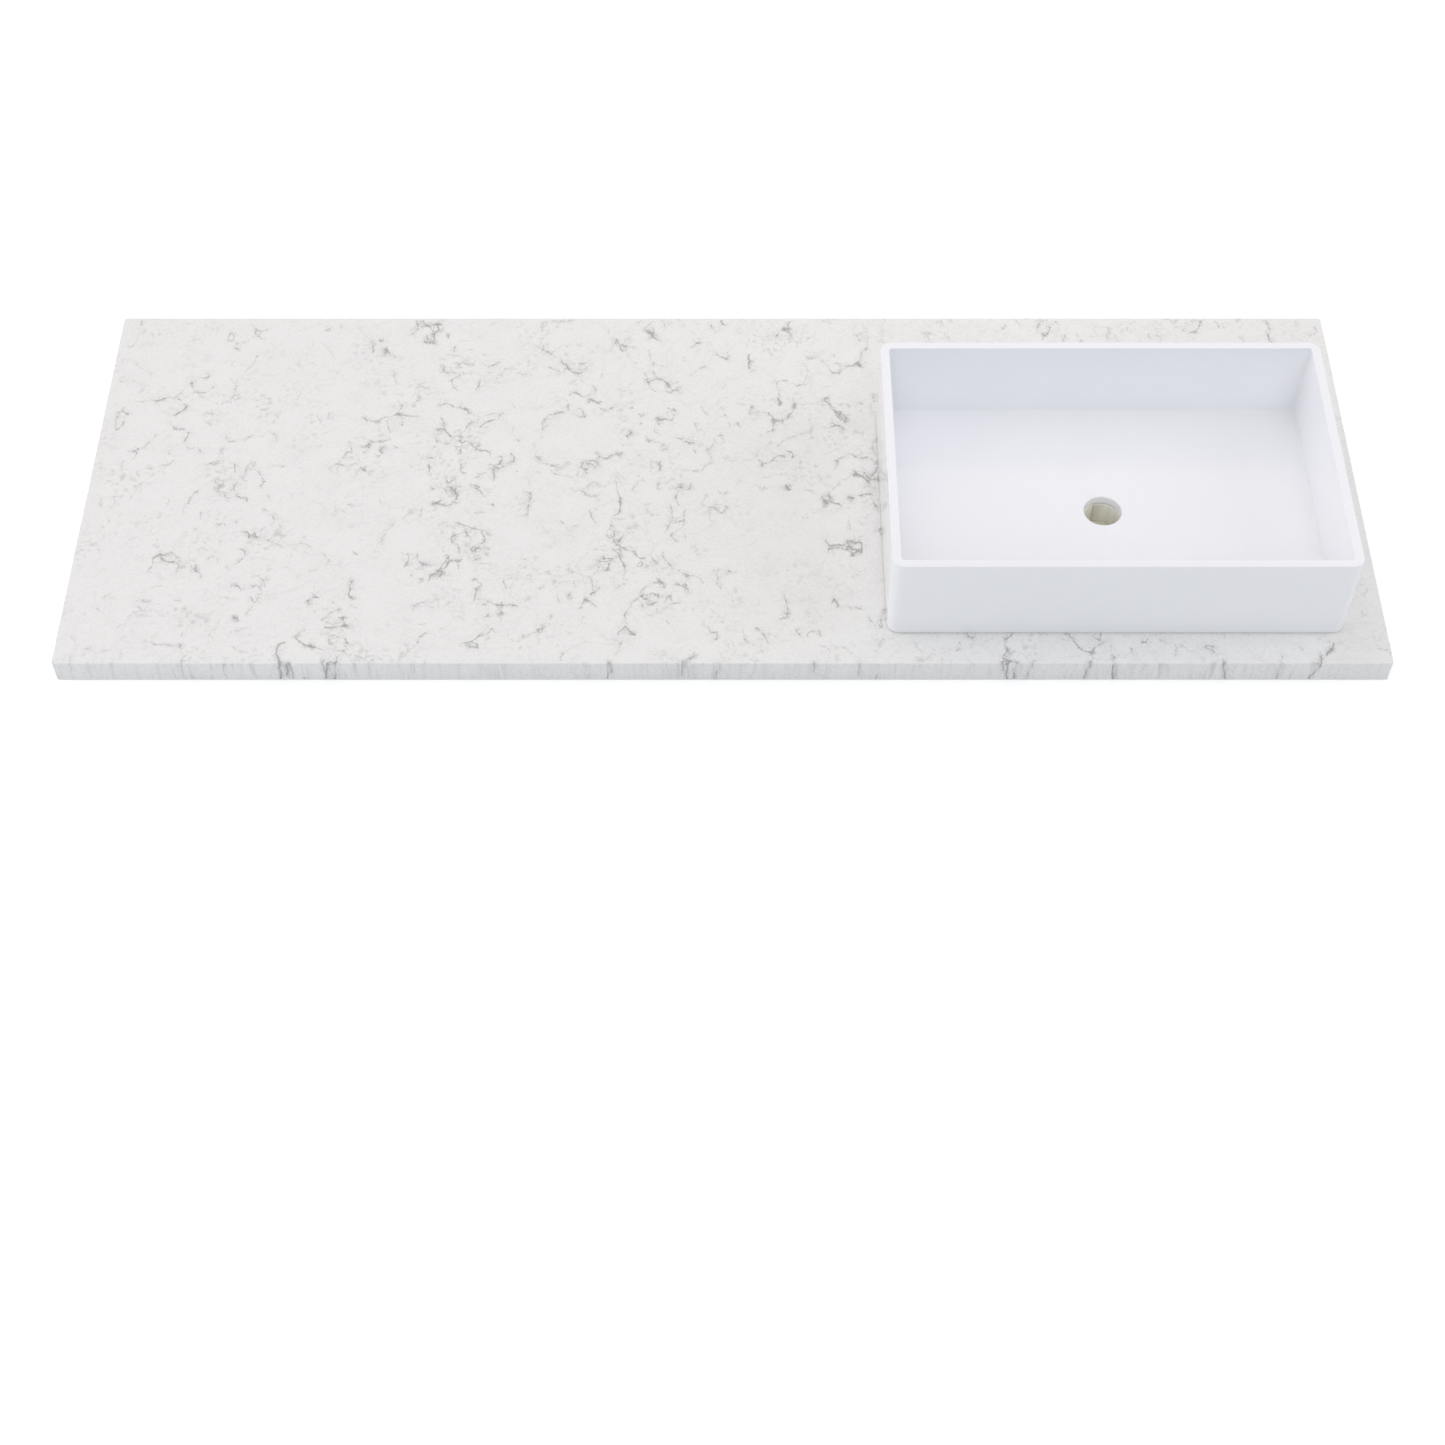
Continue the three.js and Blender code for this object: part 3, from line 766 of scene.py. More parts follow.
    "front middle": """
        60 529,281 531,286 / 45 526,295 529,299 / 70 532,299 533,306 531,313 530,321 / 50 530,321 530,329
        528,334 / 35 529,343 / 50 582,293 586,297 590,295 596,298 599,299 / 45 600,302 606,304 611,302 / 35
        611,305 614,311 / 35 599,288 600,296 / 70 634,281 635,291 638,302 639,312 / 85 639,312 640,320 639,329
        634,335 / 30 631,338 630,345 / 45 660,281 656,288 654,296 / 60 604,329 606,336 609,342 612,348 / 40
        609,324 612,326 / 35 569,345 575,348 / 45 580,361 584,354 591,350 / 50 630,349 631,352 / 50 629,356
        625,361 626,368 630,371 634,366 633,359 / 85 634,373 637,378 641,372 / 50 641,372 645,365 / 70 637,381
        643,386 650,389 656,391 661,392 / 65 656,391 661,397 667,402 670,402 / 60 632,386 637,392 641,397 / 55
        641,387 642,393 / 80 641,397 643,405 648,415 / 40 648,415 648,425 647,436 / 35 646,441 639,446
        635,451 / 45 613,388 621,389 / 90 622,398 624,403 / 65 618,408 623,407 628,405 / 65 627,402 632,403 /
        65 628,410 628,418 / 75 622,419 628,420 / 55 616,415 619,416 / 35 610,407 611,416 617,422 / 60 664,409
        667,408 668,412 664,415 662,412 664,409 / 65 680,399 681,404 685,408 / 40 679,413 681,416 / 40 671,411
        673,414 / 50 692,392 693,400 697,407 702,414 / 40 709,418 714,424 720,429 / 45 719,431 724,428 731,430
        738,436 / 60 708,377 704,372 700,365 / 50 700,365 705,361 712,356 717,349 / 60 716,340 717,349 / 35
        717,325 716,340 / 75 696,357 697,352 699,347 / 45 699,347 706,347 713,343 / 50 703,340 702,329
        701,320 / 65 706,305 709,318 / 50 710,296 706,305 / 40 701,292 711,289 / 60 710,286 714,285 / 50
        707,289 713,292 722,294 / 40 724,284 722,292 / 45 685,285 684,294 / 35 716,361 718,370 / 55 669,318
        674,316 / 50 676,332 678,334 / 60 683,333 685,334 / 35 672,324 675,330 / 35 571,373 563,378 560,384 /
        45 528,402 531,404 / 40 582,418 583,425 / 40 588,438 589,442 / 75 507,437 509,442 511,448 / 35
        516,458 / 45 565,433 568,440 / 50 607,429 609,436 610,443 611,450 / 100 608,457 612,454 / 40 613,444
        620,446 618,452 / 50 572,452 570,457 573,468 / 55 585,453 584,459 / 40 583,461 586,464 588,460 / 80
        602,464 604,467 / 60 605,467 611,470 616,474 / 45 602,464 600,472 598,478 / 85 502,473 508,474 516,473
        524,474 / 60 507,468 508,474 / 45 538,462 534,469 / 60 504,480 507,484 / 90 506,486 509,486 / 50
        507,488 507,495 / 45 493,485 490,489 / 45 565,488 564,494 / 60 563,500 565,502 / 40 556,502 555,508 /
        60 540,517 545,514 552,512 / 60 549,510 554,508 / 65 533,515 534,520 / 45 590,535 584,541 579,547
        578,553 / 35 602,490 600,498 604,500 / 60 668,458 664,463 659,467 656,474 652,481 649,486 / 80 649,487
        651,495 / 50 649,505 645,511 642,516 / 65 650,504 654,509 657,514 / 100 659,515 663,517 / 40 653,517
        648,524 645,533 641,545 / 45 674,444 668,450 666,456 / 100 678,457 680,455 683,457 / 80 687,458
        688,461 / 75 672,462 674,465 / 65 668,459 670,464 / 85 681,471 686,469 / 60 675,472 680,472 / 60
        669,471 671,475 / 55 686,478 687,482 / 85 688,434 690,438 / 50 682,440 689,438 693,440 / 70 692,446
        696,447 / 75 709,439 712,442 / 50 709,443 716,445 / 80 719,441 719,446 / 60 720,447 722,453 / 70
        701,460 703,466 / 70 701,472 708,470 711,469 / 60 695,468 698,462 / 45 694,480 696,476 / 50 679,487
        681,489 / 45 698,496 701,500 / 35 731,540 728,548 722,556 723,572 724,582 / 75 632,557 631,572
        630,588 / 45 635,557 635,574 / 65 716,556 716,572 716,581 / 60 608,578 608,588 / 30 515,560 513,585 /
        70 755,572 754,588
    """,
    "back right": """
        60 760,1 762,8 765,13 / 60 759,2 761,12 / 70 747,12 748,17 751,22 / 45 784,8 / 60 803,12 / 45 819,28
        820,34 / 35 855,2 850,6 845,12 / 75 845,12 845,18 841,23 / 60 836,23 841,18 / 60 845,20 848,28
        850,35 / 70 840,20 844,25 / 45 834,25 831,33 / 50 830,34 / 45 846,43 852,41 856,46 / 35 861,37 / 50
        722,54 727,50 730,44 / 35 730,44 737,43 / 55 745,61 / 60 753,62 757,67 763,71 766,73 / 50 766,73
        769,69 768,62 / 70 795,65 794,72 796,78 795,84 796,92 / 85 795,78 796,82 795,86 / 35 800,70 803,74 /
        40 800,94 802,92 / 40 805,107 / 35 740,85 730,95 722,102 / 35 812,62 815,58 / 45 865,68 870,73
        875,72 / 50 876,70 / 55 881,68 884,65 / 55 889,64 / 60 903,65 903,69 / 55 858,79 / 45 865,84 867,90
        869,97 867,104 865,110 / 35 861,95 860,103 / 50 887,78 893,85 897,93 903,99 / 60 903,99 907,98 909,96
        909,93 / 50 905,95 908,101 / 45 903,82 907,83 909,87 / 45 914,81 / 65 916,88 922,86 927,84 930,81
        935,85 / 75 928,83 931,81 933,85 / 45 932,80 934,75 936,70 937,60 939,57 / 40 932,31 934,36 936,41 /
        50 942,58 945,50 946,42 948,38 / 40 931,51 / 55 941,79 / 40 963,40 967,46 / 60 830,114 830,122 832,130
        831,138 / 95 831,141 831,145 834,149 / 50 830,113 834,111 840,112 843,111 / 60 834,149 832,154 / 50
        851,116 853,120 856,122 / 80 857,120 860,119 863,119 866,118 / 40 849,142 850,150 / 95 851,152
        851,157 / 60 851,157 849,164 845,170 / 75 845,170 843,175 / 40 763,125 / 45 760,155 763,165 766,173 /
        45 736,155 739,163 743,172 / 40 780,150 786,152 792,154 / 60 799,154 797,160 795,166 / 50 795,168
        800,168 / 40 806,163 / 45 810,168 816,166 820,168 / 70 820,167 823,171 824,178 / 50 824,178 825,185
        824,192 821,198 / 70 825,180 831,181 / 75 836,178 836,182 / 50 816,200 821,196 824,198 / 50 869,178
        868,182 / 40 872,190 870,197 872,208 / 40 820,215 818,220 812,227 / 45 829,222 835,216 842,211
        848,206 / 30 848,206 856,202 864,201 / 95 804,236 / 60 805,245 810,248 811,253 / 65 811,250 818,250
        823,246 827,241 832,238 838,241 / 60 809,255 / 75 843,230 846,234 847,242 / 50 841,236 / 40 860,239 /
        40 866,228 867,231 / 40 873,254 875,257 / 40 757,205 760,205 / 45 761,209 765,213 / 40 769,212 / 45
        761,223 / 70 742,228 745,227 750,221 / 35 745,232 749,243 753,250 / 50 748,250 741,256 737,264 / 40
        720,262 726,264 732,265 / 35 765,243 770,246 780,246 / 40 770,183 771,190 / 55 780,182 784,192 / 40
        806,206 / 50 889,142 893,141 / 65 890,143 886,148 / 75 888,146 892,149 897,157 / 50 884,152 / 70
        900,162 905,168 910,178 / 75 900,162 903,172 908,178 911,180 914,175 / 65 907,165 911,172 914,177 / 90
        905,168 / 60 905,154 910,151 915,153 919,156 / 40 926,157 930,152 935,151 / 45 933,147 / 45 933,163 /
        55 897,182 901,186 904,190 / 45 895,190 904,188 910,192 / 35 912,182 910,192 905,199 / 60 897,247
        901,246 / 65 903,243 908,240 912,239 / 45 901,246 900,255 896,262 / 70 920,236 925,241 932,243
        938,240 / 90 921,262 925,268 932,275 940,284 / 75 933,265 937,272 940,278 / 70 920,268 926,270 / 55
        910,278 916,272 922,270 / 55 888,271 890,274 / 65 877,274 / 40 850,274 / 40 810,273 816,275 822,270 /
        65 1042,1 1041,8 1042,15 / 40 1023,27 1031,31 / 50 1023,31 1021,43 / 35 1091,25 / 35 1108,24 / 35
        1111,42 / 65 1118,19 1122,14 / 45 1136,6 1139,10 / 55 1165,10 1163,18 1160,27 / 45 1172,15 1178,17 /
        85 1178,17 1177,22 1174,29 1171,33 / 70 1169,29 1168,38 / 35 1184,10 1188,6 / 75 1196,31 1194,37
        1192,44 / 55 1211,30 1211,32 / 60 1216,38 1214,43 / 35 1233,22 1237,30 / 50 1251,18 1253,24 / 35
        1252,27 1248,36 / 50 1276,18 1276,20 / 35 1274,8 / 40 1317,16 / 45 1302,28 1303,37 / 50 1310,30
        1316,36 1314,44 / 40 1329,30 / 45 1331,2 1338,4 / 50 1359,3 1360,8 / 40 1350,15 1344,25 / 75 1376,1
        1370,8 1367,16 1362,24 / 60 1362,24 1352,29 / 40 1358,38 / 65 1388,1 1391,8 1393,17 / 40 1397,12
        1400,20 / 35 1418,35 1422,41 / 60 1455,5 1456,12 1457,21 / 70 1453,30 1453,36 1456,44 / 45 1492,5
        1494,14 / 60 1515,16 1516,23 1512,29 1505,32 / 45 1508,120 1512,131 / 40 1505,262 1510,254 / 40
        1513,380 1509,392
    """,
    "left of the basin": """
        60 950,139 950,141 / 60 949,146 950,148 / 25 946,134 950,134 / 45 947,152 945,156 947,160 / 20 943,168
        948,171 950,172 / 35 950,207 950,213 / 45 950,213 946,216 945,222 946,230 949,235 / 40 940,242 945,246
        949,248 / 40 950,243 950,248 / 30 948,252 950,256 / 65 950,257 948,262 946,266 942,270 / 65 950,271
        949,274 / 80 950,277 950,281 / 35 944,278 947,275 / 35 943,270 946,274 948,279 / 45 943,313 943,317
        945,320 / 65 945,320 947,323 / 45 947,325 950,327 / 25 945,294 946,296 / 60 950,354 948,359 / 55
        949,364 949,367 / 25 949,432 949,435 / 35 948,484 946,490 943,494
    """,
    "front right": """
        45 756,294 760,299 768,299 / 35 742,302 740,310 735,316 / 45 766,313 / 40 780,310 784,308 / 40 748,317
        760,318 / 65 748,322 754,325 761,331 766,325 767,322 / 50 747,330 747,340 750,345 / 50 747,350
        747,354 / 35 768,342 775,342 / 40 751,369 / 35 792,358 / 35 802,285 810,291 / 30 810,291 820,290
        828,288 / 70 840,285 840,295 / 60 837,288 843,294 / 60 843,287 838,293 / 35 860,294 873,296 / 40
        902,284 896,291 891,298 / 95 889,302 891,308 / 60 880,305 884,310 886,316 / 80 884,310 886,314 / 60
        881,312 889,318 / 60 890,313 895,315 900,317 / 45 882,322 884,319 / 40 902,318 903,322 / 90 916,306
        919,308 / 75 913,307 918,308 / 60 919,317 / 50 912,325 916,323 / 70 926,303 929,303 / 60 929,302
        937,301 944,303 / 40 938,304 940,305 / 60 933,291 / 40 912,343 913,357 / 40 925,345 928,350 / 50
        924,368 929,368 / 75 883,374 886,380 891,382 897,381 904,381 909,377 914,376 / 100 909,378 911,383
        915,387 920,390 925,393 / 85 925,393 926,385 926,376 / 70 914,376 919,379 925,377 / 60 886,393 888,388
        894,386 900,386 906,389 / 50 888,388 888,384 / 40 892,395 895,399 / 70 915,388 914,396 / 75 914,399
        918,394 921,390 / 70 911,383 908,389 / 70 918,380 / 35 925,420 928,422 / 40 913,432 920,426 / 45
        756,420 757,435 / 35 750,418 752,424 / 60 768,422 775,423 / 55 770,419 771,427 / 50 778,422 / 35
        755,440 760,448 / 50 834,456 835,465 837,475 837,485 836,491 / 70 835,485 837,490 / 45 828,493
        836,491 / 45 805,465 803,472 / 40 809,486 / 35 772,477 / 65 892,463 889,468 / 65 892,463 894,470
        895,475 / 50 905,475 910,478 / 60 916,476 921,479 / 40 925,483 / 50 932,491 934,498 938,503 / 55
        940,500 943,505 / 50 944,495 945,505 / 80 949,480 / 70 845,510 850,517 / 60 850,508 / 80 858,520
        861,513 867,512 / 60 873,510 876,520 / 45 889,511 / 40 862,535 / 60 875,533 882,537 884,542 / 35
        870,552 / 50 739,502 / 50 745,505 749,513 755,513 / 50 755,516 755,523 / 75 753,523 / 50 748,526 / 40
        787,505 785,512 790,520 / 50 787,522 792,530 / 55 800,506 806,511 810,519 815,529 / 65 807,541 / 50
        808,525 / 50 730,545 725,550 / 60 727,550 732,546 / 35 958,517 950,521 943,526 940,532 / 50 945,523 /
        50 940,532 / 40 936,541 / 60 866,557 866,575 / 35 917,557 917,578 / 75 938,577 937,588 / 40 983,530
        985,538 990,543 / 40 990,528 / 90 1031,516 / 55 1042,515 1044,520 1050,520 1052,515 / 85 1044,519 / 60
        1041,529 / 45 1033,529 1035,533 / 50 1028,541 1032,537 / 40 1018,542 / 40 1046,543 / 45 1054,543 / 65
        1094,515 1091,520 1084,524 / 70 1083,523 1084,530 / 60 1084,533 1087,538 / 75 1087,539 1082,547 / 40
        1095,540 1090,546 / 40 1099,547 / 75 1080,551 1085,553 1088,557 / 85 1088,555 1096,558 / 50 1117,553
        1114,558 1114,565 / 70 1080,556 1081,566 1082,572 / 100 1085,558 1086,572 1087,588 / 95 1093,567
        1094,576 1096,588 / 40 1110,574 1109,588 / 60 1158,516 1161,522 / 85 1163,526 1167,532 1170,538
        1176,541 1182,543 / 60 1182,543 1187,536 1193,530 / 50 1193,530 1200,526 / 55 1182,543 1183,551
        1179,558 / 80 1179,558 1177,572 1175,588 / 40 1150,520 1152,524 / 50 1155,515 / 55 1196,515 1195,522 /
        60 1188,522 1193,524 / 40 1206,528 1205,540 1205,547 / 50 1207,548 1204,559 / 85 1204,559 1206,572
        1208,588 / 50 1210,559 1212,574 1214,588 / 60 1228,536 1229,544 / 45 1216,550 / 85 1241,528 1245,528 /
        50 1245,528 1248,524 / 35 1256,541 1252,545 / 55 1262,524 1268,529 / 45 1276,528 1280,538 / 50
        1279,540 1278,549 / 40 1285,533 1290,537 1295,541 1303,538 / 60 1310,535 1316,532 1322,534 / 50
        1314,534 1316,538 / 60 1319,538 1322,543 / 40 1330,552 1331,560 / 65 1331,560 1334,575 1338,588 / 40
        1335,515 1337,519 / 50 1365,516 / 40 1378,516 / 50 1418,532 1421,528 / 35 1420,535 1424,541 / 45
        1398,548 1396,558 1395,572 1395,588 / 90 1448,547 1452,542 1457,536 1460,530 / 85 1452,544 1457,539 /
        75 1441,548 1442,553 1440,559 / 75 1440,559 1439,570 1434,580 1432,588 / 40 1432,557 1438,558 / 40
        1412,570 1410,588 / 45 1508,537 1520,538 / 45 1522,538 / 50 1500,483 1501,488
    """,
}


def side_levels(edge):
    """A side's section laid flat: how far each of its points lies along the stone's skin from the slab's back
    edge, past the top."""
    flat = slab_size.y - edge[0].x
    levels = []
    for here, beyond in zip(edge, [*edge[1:], edge[-1]]):
        levels.append((flat, here))
        flat += (beyond - here).length
    return levels


def bent(across, along, levels):
    """Where a point of the skin laid flat lies on the slab: on its top, or round its front edge."""
    for (start, here), (end, beyond) in zip(levels, levels[1:]):
        if start < along <= end:
            section = here.lerp(beyond, (along - start) / (end - start))
            return Vector((across, slab_low.y + section.x, section.y))
    if along > levels[-1][0]:
        return Vector((across, slab_low.y + levels[-1][1].x, levels[-1][1].y))
    return Vector((across, slab_high.y - along, slab_high.z))


def wobbled(point):
    """A point of a vein, a little aside from where it was drawn."""
    for length, reach in VEIN_WOBBLE:
        swing = noise.noise_vector(Vector((*point, reach)) / length)
        point = point + swing.xy * reach
    return point


def curve_through(points):
    """A smooth curve through the points of a stroke, as points about VEIN_STEP apart."""
    padded = [points[0], *points, points[-1]]
    curve = [points[0]]
    for before, start, end, after in zip(padded, padded[1:], padded[2:], padded[3:]):
        steps = max(round((end - start).length / VEIN_STEP), 1)
        for step in range(1, steps + 1):
            t = step / steps
            slope = (end - before) * t + (2 * before - 5 * start + 4 * end - after) * t ** 2
            curve.append(start + (slope + (3 * start - before - 3 * end + after) * t ** 3) / 2)
    return curve


def drawn_veins():
    """Each drawn stroke as its darkness and its curve on the skin laid flat, in the frame's metres across."""
    noise.seed_set(WOBBLE_SEED)
    veins = []
    for area in DRAWN_VEINS.values():
        for stroke in area.split("/"):
            darkness, *places = stroke.split()
            pairs = [place.split(",") for place in places]
            points = [Vector((slab_low.x + float(x) * MM, float(y) * MM)) for x, y in pairs]
            curve = [wobbled(point) for point in curve_through(points)]
            veins.append((FAINTEST_VEIN + int(darkness) / DARKNESS_PARTS, curve))
    return veins


def distances(places, curve):
    """How far each place is from a curve."""
    starts = numpy.array(curve)
    if len(curve) == 1:
        return numpy.linalg.norm(places - starts[0], axis=1)
    spans = starts[1:] - starts[:-1]
    away = places[:, None] - starts[:-1]
    share = (away * spans).sum(2) / numpy.maximum((spans ** 2).sum(1), 1e-12)
    return numpy.linalg.norm(away - numpy.clip(share, 0, 1)[..., None] * spans, axis=2).min(axis=1)


def vein_values(places, veins):
    """For places on the skin laid flat: how dark a drawn vein is there, and how much shade there is."""
    dark = numpy.zeros(len(places))
    shade = numpy.zeros(len(places))
    for darkness, curve in veins:
        corners = numpy.array(curve)
        near = (places > corners.min(axis=0) - SHADE_REACH) & (places < corners.max(axis=0) + SHADE_REACH)
        chosen = numpy.flatnonzero(near.all(axis=1))
        gap = distances(places[chosen], curve)
        dark[chosen] = numpy.maximum(dark[chosen], darkness * (1 - gap / VEIN_REACH))
        shade[chosen] += darkness * numpy.clip(1 - gap / SHADE_REACH, 0, 1) ** 2
    return dark, numpy.minimum(shade / 2, 1)


def vein_points(veins, inside):
    """Points and edges that hold the drawn veins: along each curve, beside it and past its ends."""
    points = []
    edges = []
    for _, curve in veins:
        kept = [point for point in curve if inside(point)]
        edges += [(len(points) + step, len(points) + step + 1) for step in range(len(kept) - 1)]
        points += kept
        start, end = curve[0], curve[-1]
        ahead = (end - start).normalized() if start != end else Vector((1, 0))
        beside = [start - ahead * VEIN_REACH, end + ahead * VEIN_REACH]
        for here, beyond in zip(curve, curve[1:] or curve):
            aside = (beyond - here).orthogonal().normalized() if beyond != here else ahead.orthogonal()
            beside += [here + aside * VEIN_REACH, here - aside * VEIN_REACH]
        points += [point for point in beside if inside(point)]
    return points, edges


def patch(workpiece, rim, points, edges, place, keep, values=None):
    """Fills a flat outline of edges with triangles that run through the given points and edges. Where values
    are given, each corner also keeps how dark a drawn vein is there and how much shade there is."""
    outline = [tuple((round(x / MM, 3), round(y / MM, 3)) for x, y in edge) for edge in rim]
    corners = list(dict.fromkeys(corner for edge in outline for corner in edge))
    order = {corner: number for number, corner in enumerate(corners)}
    lines = [(order[start], order[end]) for start, end in outline]
    lines += [(start + len(corners), end + len(corners)) for start, end in edges]
    spots = [Vector(corner) for corner in corners] + [point / MM for point in points]
    spots, _, faces, *_ = delaunay_2d_cdt(spots, lines, [], 0, 0.01)
    spots = [spot * MM for spot in spots]
    vertices = [workpiece.verts.new(place(spot)) for spot in spots]
    if values:
        dark, shade = values(numpy.array([tuple(spot) for spot in spots]))
        for label, amounts in (("vein", dark), ("shade", shade)):
            layer = workpiece.verts.layers.float[label]
            for vertex, amount in zip(vertices, amounts):
                vertex[layer] = float(amount)
    for face in faces:
        if any(keep(spots[corner]) for corner in face):
            workpiece.faces.new([vertices[corner] for corner in face])


def open_edges(workpiece, height):
    """The edges round the openings at this height, as pairs of points laid flat."""
    pairs = []
    for edge in workpiece.edges:
        start, end = (vertex.co for vertex in edge.verts)
        if edge.is_boundary and max(abs(start.z - height), abs(end.z - height)) < TOUCHING:
            pairs.append(tuple((x, slab_high.y - y) for x, y in (start.xy, end.xy)))
    return pairs


def weld(workpiece):
    bmesh.ops.remove_doubles(workpiece, verts=workpiece.verts[:], dist=2 * TOUCHING)


def stone_skin(workpiece, levels, veins):
    """Fills the slab's top and front in one piece, bent over the front edge, and then the underside."""
    half_width = slab_size.x / 2 - SLAB_CORNER_RADIUS
    flats = [flat for flat, _ in levels]
    hole = (drain.x, slab_high.y - drain.y)
    rim_radius = DRAIN_RADIUS + SLAB_ARRIS + SHADING_LEAD

    def beyond_bore(point):
        return math.dist(point, hole) > rim_radius + 10 * TOUCHING

    def inside(point):
        across = abs(point.x) < half_width - OUTLINE_CLEAR
        along = SLAB_CORNER_RADIUS + OUTLINE_CLEAR < point.y < flats[-1] - OUTLINE_CLEAR
        clear_of_bends = min(abs(point.y - flat) for flat in flats) > BEND_CLEAR
        return across and along and clear_of_bends and math.dist(point, hole) > rim_radius + OUTLINE_CLEAR

    rim = open_edges(workpiece, slab_high.z)
    for side in (-half_width, half_width):
        rim += [((side, start), (side, end)) for start, end in zip(flats, flats[1:])]
    lines = round(2 * half_width / FRONT_FACET)
    for flat in flats:
        row = [(half_width * (2 * step / lines - 1), flat) for step in range(lines + 1)]
        rim += zip(row, row[1:])

    points, edges = vein_points(veins, inside)
    columns = round(2 * half_width / SKIN_FACET)
    rows = round(flats[-1] / SKIN_FACET)
    for column in range(1, columns):
        for row in range(1, rows):
            shift = (row % 2) * 0.5
            point = Vector((half_width * (2 * (column + shift) / columns - 1), row * flats[-1] / rows))
            if inside(point):
                points.append(point)
    patch(workpiece, rim, points, edges, lambda spot: bent(spot.x, spot.y, levels), beyond_bore,
          lambda places: vein_values(places, veins))
    weld(workpiece)

    def underneath(spot):
        return Vector((spot.x, slab_high.y - spot.y, slab_low.z))

    patch(workpiece, open_edges(workpiece, slab_low.z), [], [], underneath, beyond_bore)
    weld(workpiece)


def quartz_slab():
    """The slab's sides and its bore are rings, and the stone's skin joins them."""
    edge = [
        Vector((SLAB_CORNER_RADIUS, slab_low.z)),
        *arc((SLAB_ARRIS, SLAB_ARRIS), SLAB_ARRIS, -90, -180),
        *arc((SLAB_ARRIS, slab_high.z - SLAB_ARRIS), SLAB_ARRIS, 180, 90),
        Vector((SLAB_CORNER_RADIUS, slab_high.z)),
    ]

    def corner_radius(inset):
        return SLAB_CORNER_RADIUS - inset

    levels = rectangle_levels(edge, corner_radius)
    steps = (SLAB_CORNER_STEPS, round(slab_size.x / SIDE_FACET))
    finish = quartz_finish()
    slab = drawn_rings("polished_slab", levels, slab_size, Vector(), finish, closed=False, steps=steps)
    bore_radius = DRAIN_RADIUS + SLAB_ARRIS
    bore_edge = [
        *arc((bore_radius, slab_high.z - SLAB_ARRIS), SLAB_ARRIS, 90, 180),
        *arc((bore_radius, SLAB_ARRIS), SLAB_ARRIS, 180, 270),
    ]
    bore = drawn_rings("drain_bore", circle_levels(bore_edge), slab_size, BASIN_CENTRE, None, closed=False)
    veins = drawn_veins()

    def on_front(face):
        middle = face.calc_center_median()
        straight = abs(middle.x) < slab_size.x / 2 - SLAB_CORNER_RADIUS
        return straight and middle.y < slab_low.y + SLAB_CORNER_RADIUS

    def clad(workpiece):
        for label in ("vein", "shade"):
            workpiece.verts.layers.float.new(label)
        front = [face for face in workpiece.faces if on_front(face)]
        bmesh.ops.delete(workpiece, geom=front, context="FACES")
        workpiece.from_mesh(bore.data)
        stone_skin(workpiece, side_levels(edge[::-1]), veins)

    reworked(slab.data, clad)
    bpy.data.objects.remove(bore)
    close_up(slab.data)
    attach(slab, "root")
    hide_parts("quartz_slab")


def bead_section(inner, outer, low, high, bulge):
    """A squeezed bead of sealant: flat where it is pressed, swollen at both sides."""
    middle = (low + high) / 2
    half = (high - low) / 2
    points = []
    for side, edge in ((1, outer), (-1, inner)):
        for step in range(ARC_STEPS + 1):
            angle = side * (step / ARC_STEPS - 0.5) * math.pi
            points.append(Vector((edge + side * bulge * math.cos(angle), middle + half * math.sin(angle))))
    return points


def dressed(sealant, node):
    """Puts a ring of sealant in place of its node."""
    close_up(sealant.data)
    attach(sealant, "root")
    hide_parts(node)


def basin_bead():
    """The bead under the basin's foot, set back a little from its outer face."""
    bead_size = bead_high - bead_low
    section = bead_section(BEAD_BULGE, BEAD_WIDTH - BEAD_BULGE, bead_low.z, bead_high.z, -BEAD_BULGE)

    def corner_radius(inset):
        return BASIN_CORNER_RADIUS - (basin_size.x - bead_size.x) / 2 - inset

    levels = rectangle_levels(section, corner_radius)
    material = silicone_finish("pressed_bedding", (0.72, 0.72, 0.70), (0.78, 0.77, 0.74))
    bead = drawn_rings(
        "bedding_bead", levels, bead_size, BASIN_CENTRE, material, unevenness=BEAD_UNEVENNESS, seed=4.0
    )
    dressed(bead, "basin_silicone_bead")


def drain_seal():
    """The ring of sealant that is squeezed between the slab and the basin round the drain."""
    outer = (seal_high.x - seal_low.x) / 2 - SEAL_BULGE
    bulge = SEAL_BULGE - SEAL_UNEVENNESS
    levels = circle_levels(bead_section(outer - SEAL_WIDTH, outer, seal_low.z, seal_high.z, bulge))
    material = silicone_finish("pressed_sealant", (0.80, 0.79, 0.74), (0.86, 0.85, 0.80))
    seal = drawn_rings(
        "squeezed_seal", levels, basin_size, BASIN_CENTRE, material, unevenness=SEAL_UNEVENNESS, seed=9.0
    )
    dressed(seal, "drain_seal_ring")


# The studio: soft boxes, each with where it stands, how tightly it is gathered and its colour
SOFTBOXES = {
    "left": ((-1, 0, 0.2), 4, (1.83, 1.84, 1.86)),
    "right, low": ((1, 0, 0.2), 4, (0.04, 0.12, 0.19)),
    "right": ((0.87, 0, 0.5), 8, (2.06, 1.99, 2.03)),
    "front": ((0, -0.87, 0.5), 8, (0, 0.13, 0.27)),
    "front, high": ((0, -0.6, 0.8), 10, (1.98, 1.94, 1.84)),
    "back, low": ((0, 0.97, 0.25), 24, (1.63, 1.63, 1.49)),
    "back": ((0, 0.87, 0.5), 8, (0.68, 0.66, 0.64)),
    "overhead": ((-0.35, 0.35, 0.87), 16, (1.12, 1.06, 1.11)),
}

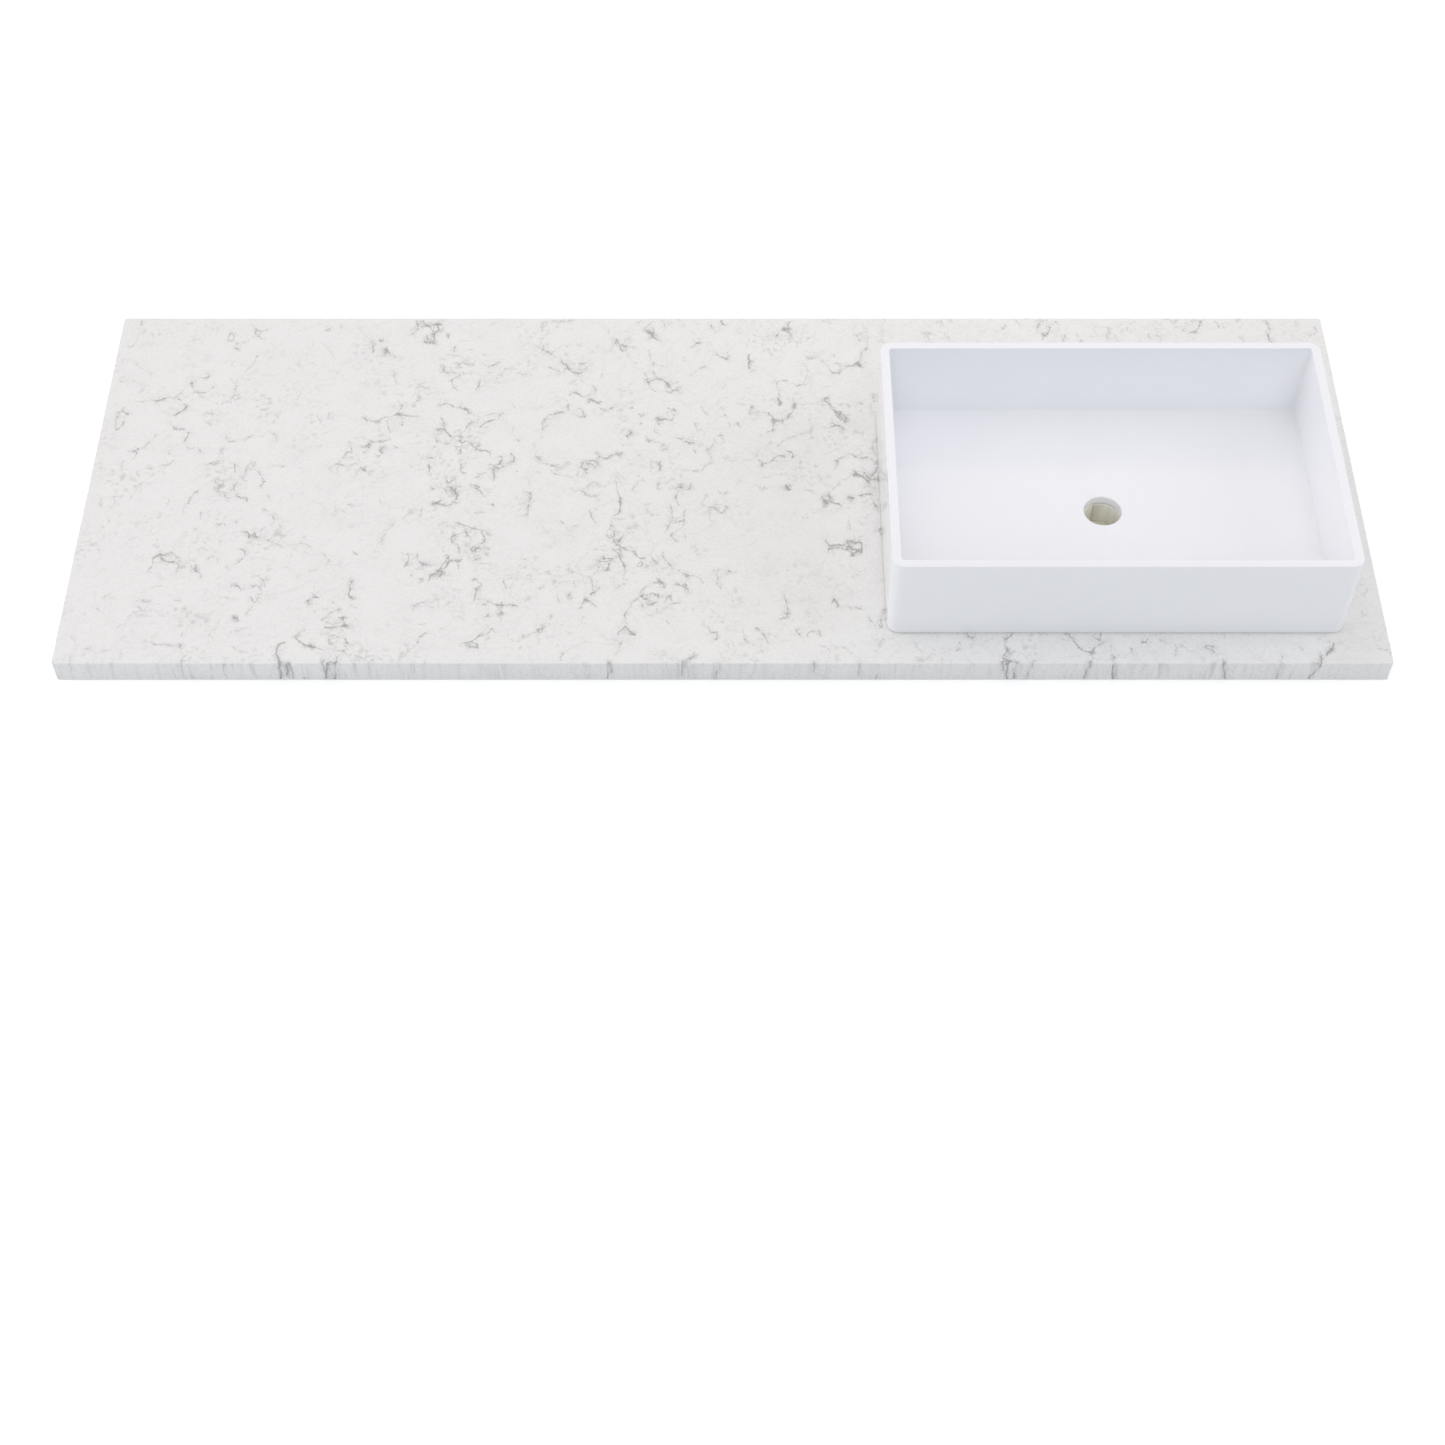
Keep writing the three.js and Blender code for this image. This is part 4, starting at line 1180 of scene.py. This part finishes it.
# A soft panel at the back, between these heights of a sphere with the radius 1. The basin's floor mirrors it
# in front of the line where it mirrors the rim of the back wall
PANEL_FOOT = 0.60, 0.68
PANEL_TOP = 0.725, 0.775
PANEL_SIDE = 0.05, 0.35
PANEL_GLOW = 0.68, 0.66, 0.64

# The floor goes on past the view and glows a little for the camera, so that it comes out white
FLOOR_RADIUS = 30.0
FLOOR_DEPTH = 0.1 * MM
FLOOR_GLOW = 0.30
UNDER_THE_SLAB = (0.86, 0.84, 0.74, 1)
PALE_FLOOR = (0.88, 0.88, 0.88, 1), (0.90, 0.90, 0.90, 1)


def studio_light():
    world = bpy.data.worlds.new("studio")
    world.use_nodes = True
    sky = Tree(world.node_tree)
    direction = sky.node("ShaderNodeTexCoord", {}, (), "Generated")
    light = None
    for towards, tightness, colour in SOFTBOXES.values():
        facing = direction.dot(tuple(Vector(towards).normalized())).at_least(0)
        term = facing ** tightness * colour
        light = light + term if light else term
    _, back, up = sky.parts(direction)
    panel = up.rises(*PANEL_FOOT) * up.falls(*PANEL_TOP) * back.rises(*PANEL_SIDE)
    light = light + panel * PANEL_GLOW
    lit = sky.node("ShaderNodeBackground", {}, {"Color": light, "Strength": 1.0})
    plain = sky.node("ShaderNodeBackground", {}, {"Color": (1, 1, 1, 1), "Strength": 1.0})
    seen = sky.node("ShaderNodeLightPath", {}, (), "Is Camera Ray")
    backdrop = sky.node("ShaderNodeMixShader", {}, [seen, lit, plain])
    sky.node("ShaderNodeOutputWorld", {}, {"Surface": backdrop})
    bpy.context.scene.world = world


def studio_floor():
    floor = bpy.data.objects.new("studio_floor", bpy.data.meshes.new("studio_floor"))
    bpy.context.collection.objects.link(floor)

    def lay(workpiece):
        below = Matrix.Translation((0, 0, slab_low.z - FLOOR_DEPTH))
        bmesh.ops.create_circle(workpiece, cap_ends=True, segments=96, radius=FLOOR_RADIUS, matrix=below)

    reworked(floor.data, lay)
    paint = Finish("pale_floor")
    x, y, _ = paint.parts(paint.place)
    half = slab_size / 2
    outside = (x.absolute() - half.x).at_least(y.absolute() - half.y).rises(-2 * MM, 1 * MM)
    tone = paint.mix(paint.noise(paint.place, 6, 3.0), *PALE_FLOOR)
    seen = paint.node("ShaderNodeLightPath", {}, (), "Is Camera Ray")
    floor.data.materials.append(paint.surface({
        "Base Color": paint.mix(outside, UNDER_THE_SLAB, tone),
        "Roughness": 0.9,
        "Specular IOR Level": 0.0,
        "Emission Color": paint.mix(outside * seen, (0, 0, 0, 1), (1, 1, 1, 1)),
        "Emission Strength": FLOOR_GLOW,
    }))


# The camera stands in front of the slab's middle and looks down at it
CAMERA_DISTANCE = 1.9322
CAMERA_HEIGHT = 2.1480
CAMERA_PITCH = math.radians(53.457)
CAMERA_LENS = 58.99
CAMERA_SENSOR = 36.0


def camera():
    data = bpy.data.cameras.new("camera")
    data.lens = CAMERA_LENS
    data.sensor_width = CAMERA_SENSOR
    eye = bpy.data.objects.new("camera", data)
    eye.location = (0, -CAMERA_DISTANCE, CAMERA_HEIGHT)
    eye.rotation_euler = (RIGHT_ANGLE - CAMERA_PITCH, 0, 0)
    bpy.context.collection.objects.link(eye)
    bpy.context.scene.camera = eye


def colour_management():
    view = bpy.context.scene.view_settings
    view.view_transform = "Standard"
    view.look = "None"
    view.exposure = 0.0
    view.gamma = 1.0


camera()
colour_management()
studio_light()
studio_floor()
quartz_slab()
vessel_basin()
basin_bead()
drain_seal()
